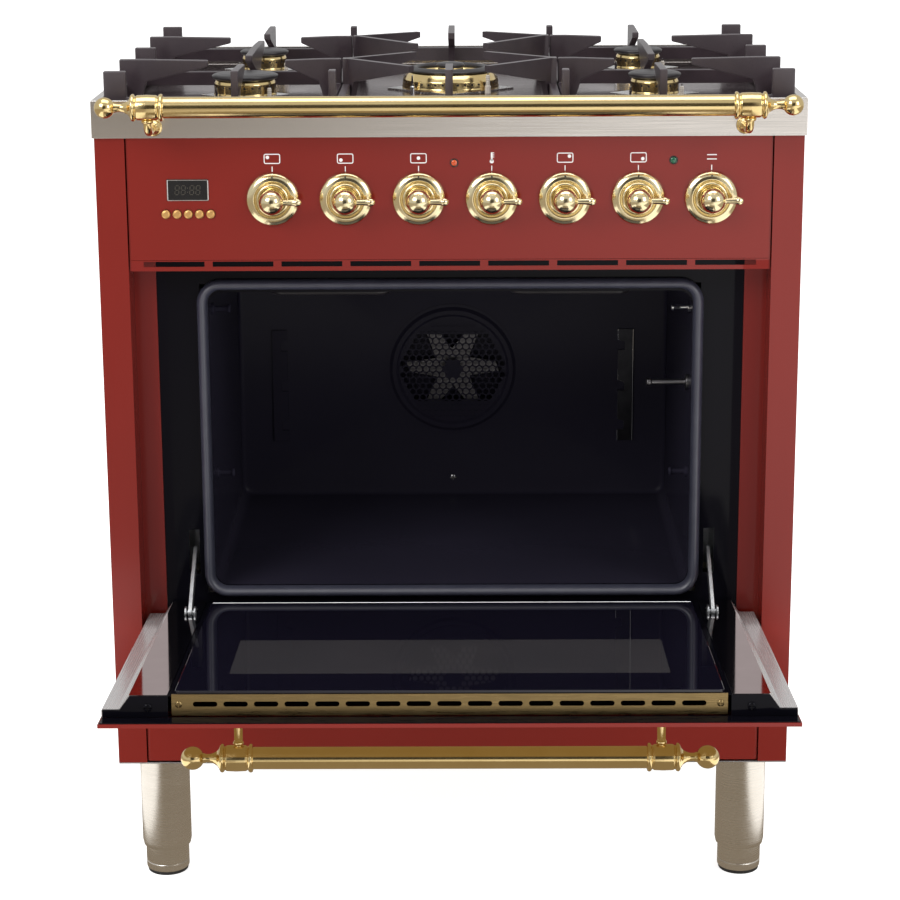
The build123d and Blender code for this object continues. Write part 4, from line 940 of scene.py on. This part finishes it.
def centre_caps():
    """The centre burner's ring cap round its small cap."""
    node = "burner_cap_centre"
    low, high = corners(node)
    centre = ((low.x + high.x) / 2, (low.y + high.y) / 2, 0)
    seat, small_seat = high.z - 10.3, high.z - 6.3
    ring = [(39, 0), (50.4, 0), (51.5, 1.3), (50.6, 2.6), (46.6, 4.4), (43.5, 5.3), (40.6, 5.0), (38.4, 3.2)]
    ring += [(38.2, 1.0), (39, 0)]
    small = [(0, -3), (8.3, -3), (8.3, 0), (15.4, 0), (16.6, 1.6), (16.4, 3.0), (14.4, 4.8), (8.0, 5.9)]
    made = Build()
    made.turned(soften(lifted(ring, seat), 0.8), centre, "up", 0, 96)
    made.turned(soften([*lifted(small, small_seat), (0, high.z)], 0.8), centre, "up", 0, 72)
    made.piece(node + "_enamel", node, ["cap_enamel"], [node])


for burner_name in BURNERS:
    burner_cap(burner_name)
centre_caps()


def electrodes():
    """Ribbed ceramic igniters with a steel tip, and thin thermocouples in a sleeve."""
    floor, cap_gap, least_reach, centre_reach = 878.0, 4.05, 40.0, 61.5
    made = Build()
    places = []
    for name in BURNERS:
        low, high = corners("burner_cap_" + name)
        spot = (low + high) / 2
        places.append((spot.x, spot.y, max((high.x - low.x) / 2 + cap_gap, least_reach)))
    spot = middle("burner_cap_centre")
    places.append((spot.x, spot.y, centre_reach))
    igniter = [(0, 0), (3.6, 0), (3.6, 8), (2.2, 9)]
    for rib in range(4):
        base = 9.4 + 2.4 * rib
        igniter += [(2.2, base), (2.7, base + 0.8), (2.2, base + 1.6)]
    igniter += [(2.4, 19.4), (1.7, 20.6), (0, 20.6)]
    spark = [(0, 20.4), (0.65, 20.4), (0.65, 23.4), (0, 23.9)]
    couple = [(0, 0), (3.0, 0), (3.0, 7.5), (1.9, 8.4), (1.5, 17), (1.3, 20.4), (0, 20.8)]
    for x, y, reach in places:
        at = Vector((x, y, floor))
        right = at + Vector((reach, -reach, 0)) * math.sqrt(0.5)
        left = at + Vector((-reach, -reach, 0)) * math.sqrt(0.5)
        made.turned(igniter, right, "up", 0, 24)
        made.turned(spark, right, "up", 1, 12)
        made.turned(couple, left, "up", 1, 20)
    looks = ["ceramic", "chrome"]
    made.piece("igniters_and_thermocouples", "cabinet", looks, ["burner_electrodes"])


electrodes()


# ---- legs and feet ----
def foot(name):
    """Steel sleeve with a rolled lower edge on a rubber pad."""
    node = "foot_" + name
    low, high = corners(node)
    centre = ((low.x + high.x) / 2, (low.y + high.y) / 2, 0)
    r = (high.x - low.x) / 2
    sleeve = [(r - 3, 4), (r - 1.2, 4), (r - 0.2, 5.2), (r, 7), (r, 12.5), (r - 0.5, 13), (r - 0.5, 13.8)]
    sleeve += [(r, 14.3), (r, high.z), (r - 2, high.z), (r - 2, 8), (r - 3, 8), (r - 3, 4)]
    made = Build()
    made.turned(soften(sleeve, 0.4), centre, "up", 0, 72)
    pad = [(0, 0), (r - 2.4, 0), (r - 1.5, 0.9), (r - 1.5, 4), (0, 4)]
    made.turned(soften(pad, 0.4), centre, "up", 1, 64)
    made.piece(node + "_steel", node, ["ring_brushed_steel", "black_rubber"], [node])


for foot_name in FEET:
    foot(foot_name)


# ---- back ----
def inlet_thread():
    """Thread crests standing on the gas inlet, and the hexagon behind them."""
    inlet = frame["record"]["mounts"][0]
    centre = Vector(inlet["pos_m"]) / MM
    radius, length = inlet["dims"]["r_mm"], inlet["dims"]["length_mm"]
    start = centre.y - length / 2
    pitch, root, crest = 1.81, radius - 0.3, radius + 0.45
    profile = [(0, 0), (root, 0)]
    for turn in range(8):
        profile += [(r, pitch * (turn + rise)) for r, rise in ((root, 0.35), (crest, 0.62), (root, 0.9))]
    profile += [(root, length - 0.8), (radius - 1.0, length - 0.05), (0, length - 0.05)]
    made = Build()
    made.turned(profile, (centre.x, start, centre.z), "back", 0, 48)
    hexagon = arc((0, 0), 15.0, 0, 300, 5)
    made.plate(soften(hexagon, 1.2, 3, True), (centre.x, start - 8, centre.z), "back", 0, 7.5, 0.6, 0)
    made.piece("gas_inlet_thread", "cabinet", ["dull_brass"])


inlet_thread()


# ---- carried-over CAD nodes ----
PLAIN_ROUND = 0.3
EDGE_ROUND = {"cast_iron": 1.3, "red_enamel": 0.5, "polished_brass": 0.2, "aluminium": 0.35}
# Height in metres above which the cooktop keeps its plain tone.
TRAY_TOP = corners("burner_bases")[0].z * MM + 0.0295
# The cooktop's up-facing faces below that height are drawn darker and pinker.
darken_low_flats(LOOKS["cooktop_steel"], TRAY_TOP, (0.30, 0.25, 0.255))
OWN_LOOK = {"cooktop": "cooktop_steel", "leg_tubes": "ring_brushed_steel", "clock_module": "display",
            "oven_elements": "cap_enamel", "hinge_arms": "zinc_steel", "convection_fan": "fan_steel",
            "fan_cover": "cavity_enamel"}
PIERCED = ("control_panel", "rear_cover", "fan_cover")


def dress(node, slot_name):
    """Give a CAD node its material, and ease its sharp edges unless it is full of holes."""
    target = frame["nodes"][node]
    for material_slot in target.material_slots:
        material_slot.material = LOOKS[OWN_LOOK.get(node, slot_name)]
    if node in PIERCED:
        return
    weld = target.modifiers.new("weld", "WELD")
    weld.merge_threshold = 0.01 * MM
    flat = target.modifiers.new("flat", "DECIMATE")
    flat.decimate_type = "DISSOLVE"
    flat.angle_limit = math.radians(0.6)
    ease = target.modifiers.new("round", "BEVEL")
    ease.width = EDGE_ROUND.get(slot_name, PLAIN_ROUND) * MM
    ease.segments = 2
    ease.limit_method = "ANGLE"
    ease.angle_limit = math.radians(40)
    shade = target.modifiers.new("shade", "WEIGHTED_NORMAL")
    shade.weight = 60


for part in frame["record"]["subparts"]:
    if not frame["nodes"][part["node"]].hide_render:
        dress(part["node"], part["material_slot"])


# ---- floor, light and camera ----
def flat_sheet(name, half_x, half_y, place, turn, look):
    """Flat rectangle for the studio's floor and cards."""
    data = bpy.data.meshes.new(name)
    data.from_pydata([(x, y, 0) for x, y in rectangle(half_x, half_y)], [], [(0, 1, 2, 3)])
    data.materials.append(look)
    made = new_object(name, data)
    made.matrix_world = Matrix.Translation(place) @ turn
    return made


def studio_floor():
    """Pale floor that reflections don't see."""
    look = finish("floor", (0.93, 0.93, 0.93), (0.90, 0.90, 0.90), (0.5, 0.6), 0.5, 20.0, depth=0.02,
                  Specular_IOR_Level=0.0, Emission_Color=(1, 1, 1, 1), Emission_Strength=0.85)
    floor = flat_sheet("floor", 40, 40, (0, 0, 0), Matrix.Identity(4), look)
    floor.visible_glossy = False


def flag(name, half_x, half_y, place, turn, left, right, reach=1.0):
    """Card that only reflections see, shaded from left to right within reach metres of its middle."""
    look = finish(name, (0, 0, 0), (0, 0, 0), (0.9, 0.95), 1.0, 20.0, depth=0.0, Specular_IOR_Level=0.0,
                  Emission_Strength=1.0)
    tree = look.node_tree
    across = tree.nodes.new("ShaderNodeSeparateXYZ")
    tree.links.new(tree.nodes.new("ShaderNodeTexCoord").outputs["Object"], across.inputs[0])
    shade = mix_colours(tree, spread(tree, across.outputs["X"], 0, 1, -reach, reach), left, right)
    tree.links.new(shade, tree.nodes["Principled BSDF"].inputs["Emission Color"])
    card = flat_sheet(name, half_x, half_y, place, turn, look)
    card.visible_camera = False
    card.visible_diffuse = False
    card.visible_shadow = False
    card.visible_transmission = False


def area_light(name, place, aim, size, power):
    """Rectangular light that faces its aim."""
    data = bpy.data.lights.new(name, "AREA")
    data.shape = "RECTANGLE"
    data.size, data.size_y = size
    data.energy = power
    light = new_object(name, data)
    light.location = place
    light.rotation_mode = "QUATERNION"
    light.rotation_quaternion = (Vector(aim) - Vector(place)).to_track_quat("-Z", "Y")


def world_light(strength):
    world = bpy.data.worlds.new("studio")
    world.use_nodes = True
    background = world.node_tree.nodes["Background"]
    background.inputs["Color"].default_value = (1.0, 1.0, 1.0, 1)
    background.inputs["Strength"].default_value = strength
    bpy.context.scene.world = world


def camera_view():
    """Camera at chest height, just right of centre, looking down at the range."""
    place, lens = (0.0188, -2.78842, 1.2027), 100.2
    yaw, pitch, roll = (math.radians(angle) for angle in (0.42, 14.47, -0.30))
    forward = Vector((-math.sin(yaw) * math.cos(pitch), math.cos(yaw) * math.cos(pitch), -math.sin(pitch)))
    right = forward.cross(Vector((0, 0, 1))).normalized()
    up = right.cross(forward)
    right, up = right * math.cos(roll) + up * math.sin(roll), up * math.cos(roll) - right * math.sin(roll)
    data = bpy.data.cameras.new("camera")
    data.lens = lens
    data.sensor_width = 36.0
    data.clip_end = 200.0
    camera = new_object("camera", data)
    turn = Matrix((right, up, -forward)).transposed().to_4x4()
    camera.matrix_world = Matrix.Translation(place) @ turn
    bpy.context.scene.camera = camera


bpy.context.scene.view_settings.view_transform = "Standard"
world_light(0.62)
studio_floor()
FLAT = Matrix.Identity(4)
UPRIGHT = Matrix.Rotation(math.radians(90), 4, "X")
SHADE, WARM, BRIGHT = (0.30, 0.25, 0.19), (0.44, 0.39, 0.33), (1.45, 1.42, 1.38)
POST_GREY = (0.47, 0.40, 0.40)
BROWNS = (0.25, 0.175, 0.080), (0.27, 0.19, 0.085)
DARKS = (0.05, 0.045, 0.04), (0.07, 0.065, 0.06)
flag("far_floor_flag", 12, 6, (0, -7.4, -0.01), FLAT, WARM, BRIGHT, 0.8)
flag("near_floor_flag", 0.49, 2.2, (0, 0.8, -0.01), FLAT, SHADE, SHADE)
for side in (-1, 1):
    flag("side_floor_flag", 0.33, 0.8, (side * 0.82, -0.6, -0.01), FLAT, BRIGHT, BRIGHT)
    flag("outer_floor_flag", 4, 2.2, (side * 4.45, 0.8, -0.012), FLAT, WARM, WARM)
    flag("post_flag", 0.0148, 0.2, (side * 0.3312, FACE_Y * MM - 0.004, 0.525), UPRIGHT, POST_GREY, POST_GREY)
flag("handle_flag", 0.30, 0.16, (0, -0.33, 0.303), FLAT, *BROWNS)
flag("front_flag", 1.5, 1.5, (0, -4.6, 2.0), UPRIGHT, *DARKS)
area_light("key", (-1.9, -2.4, 2.6), (0, 0, 0.6), (1.6, 1.3), 48)
area_light("fill", (2.4, -2.2, 2.0), (0, 0, 0.6), (1.2, 1.6), 26)
area_light("top", (0.0, -0.2, 3.2), (0, 0, 0.9), (2.6, 1.6), 30)
camera_view()
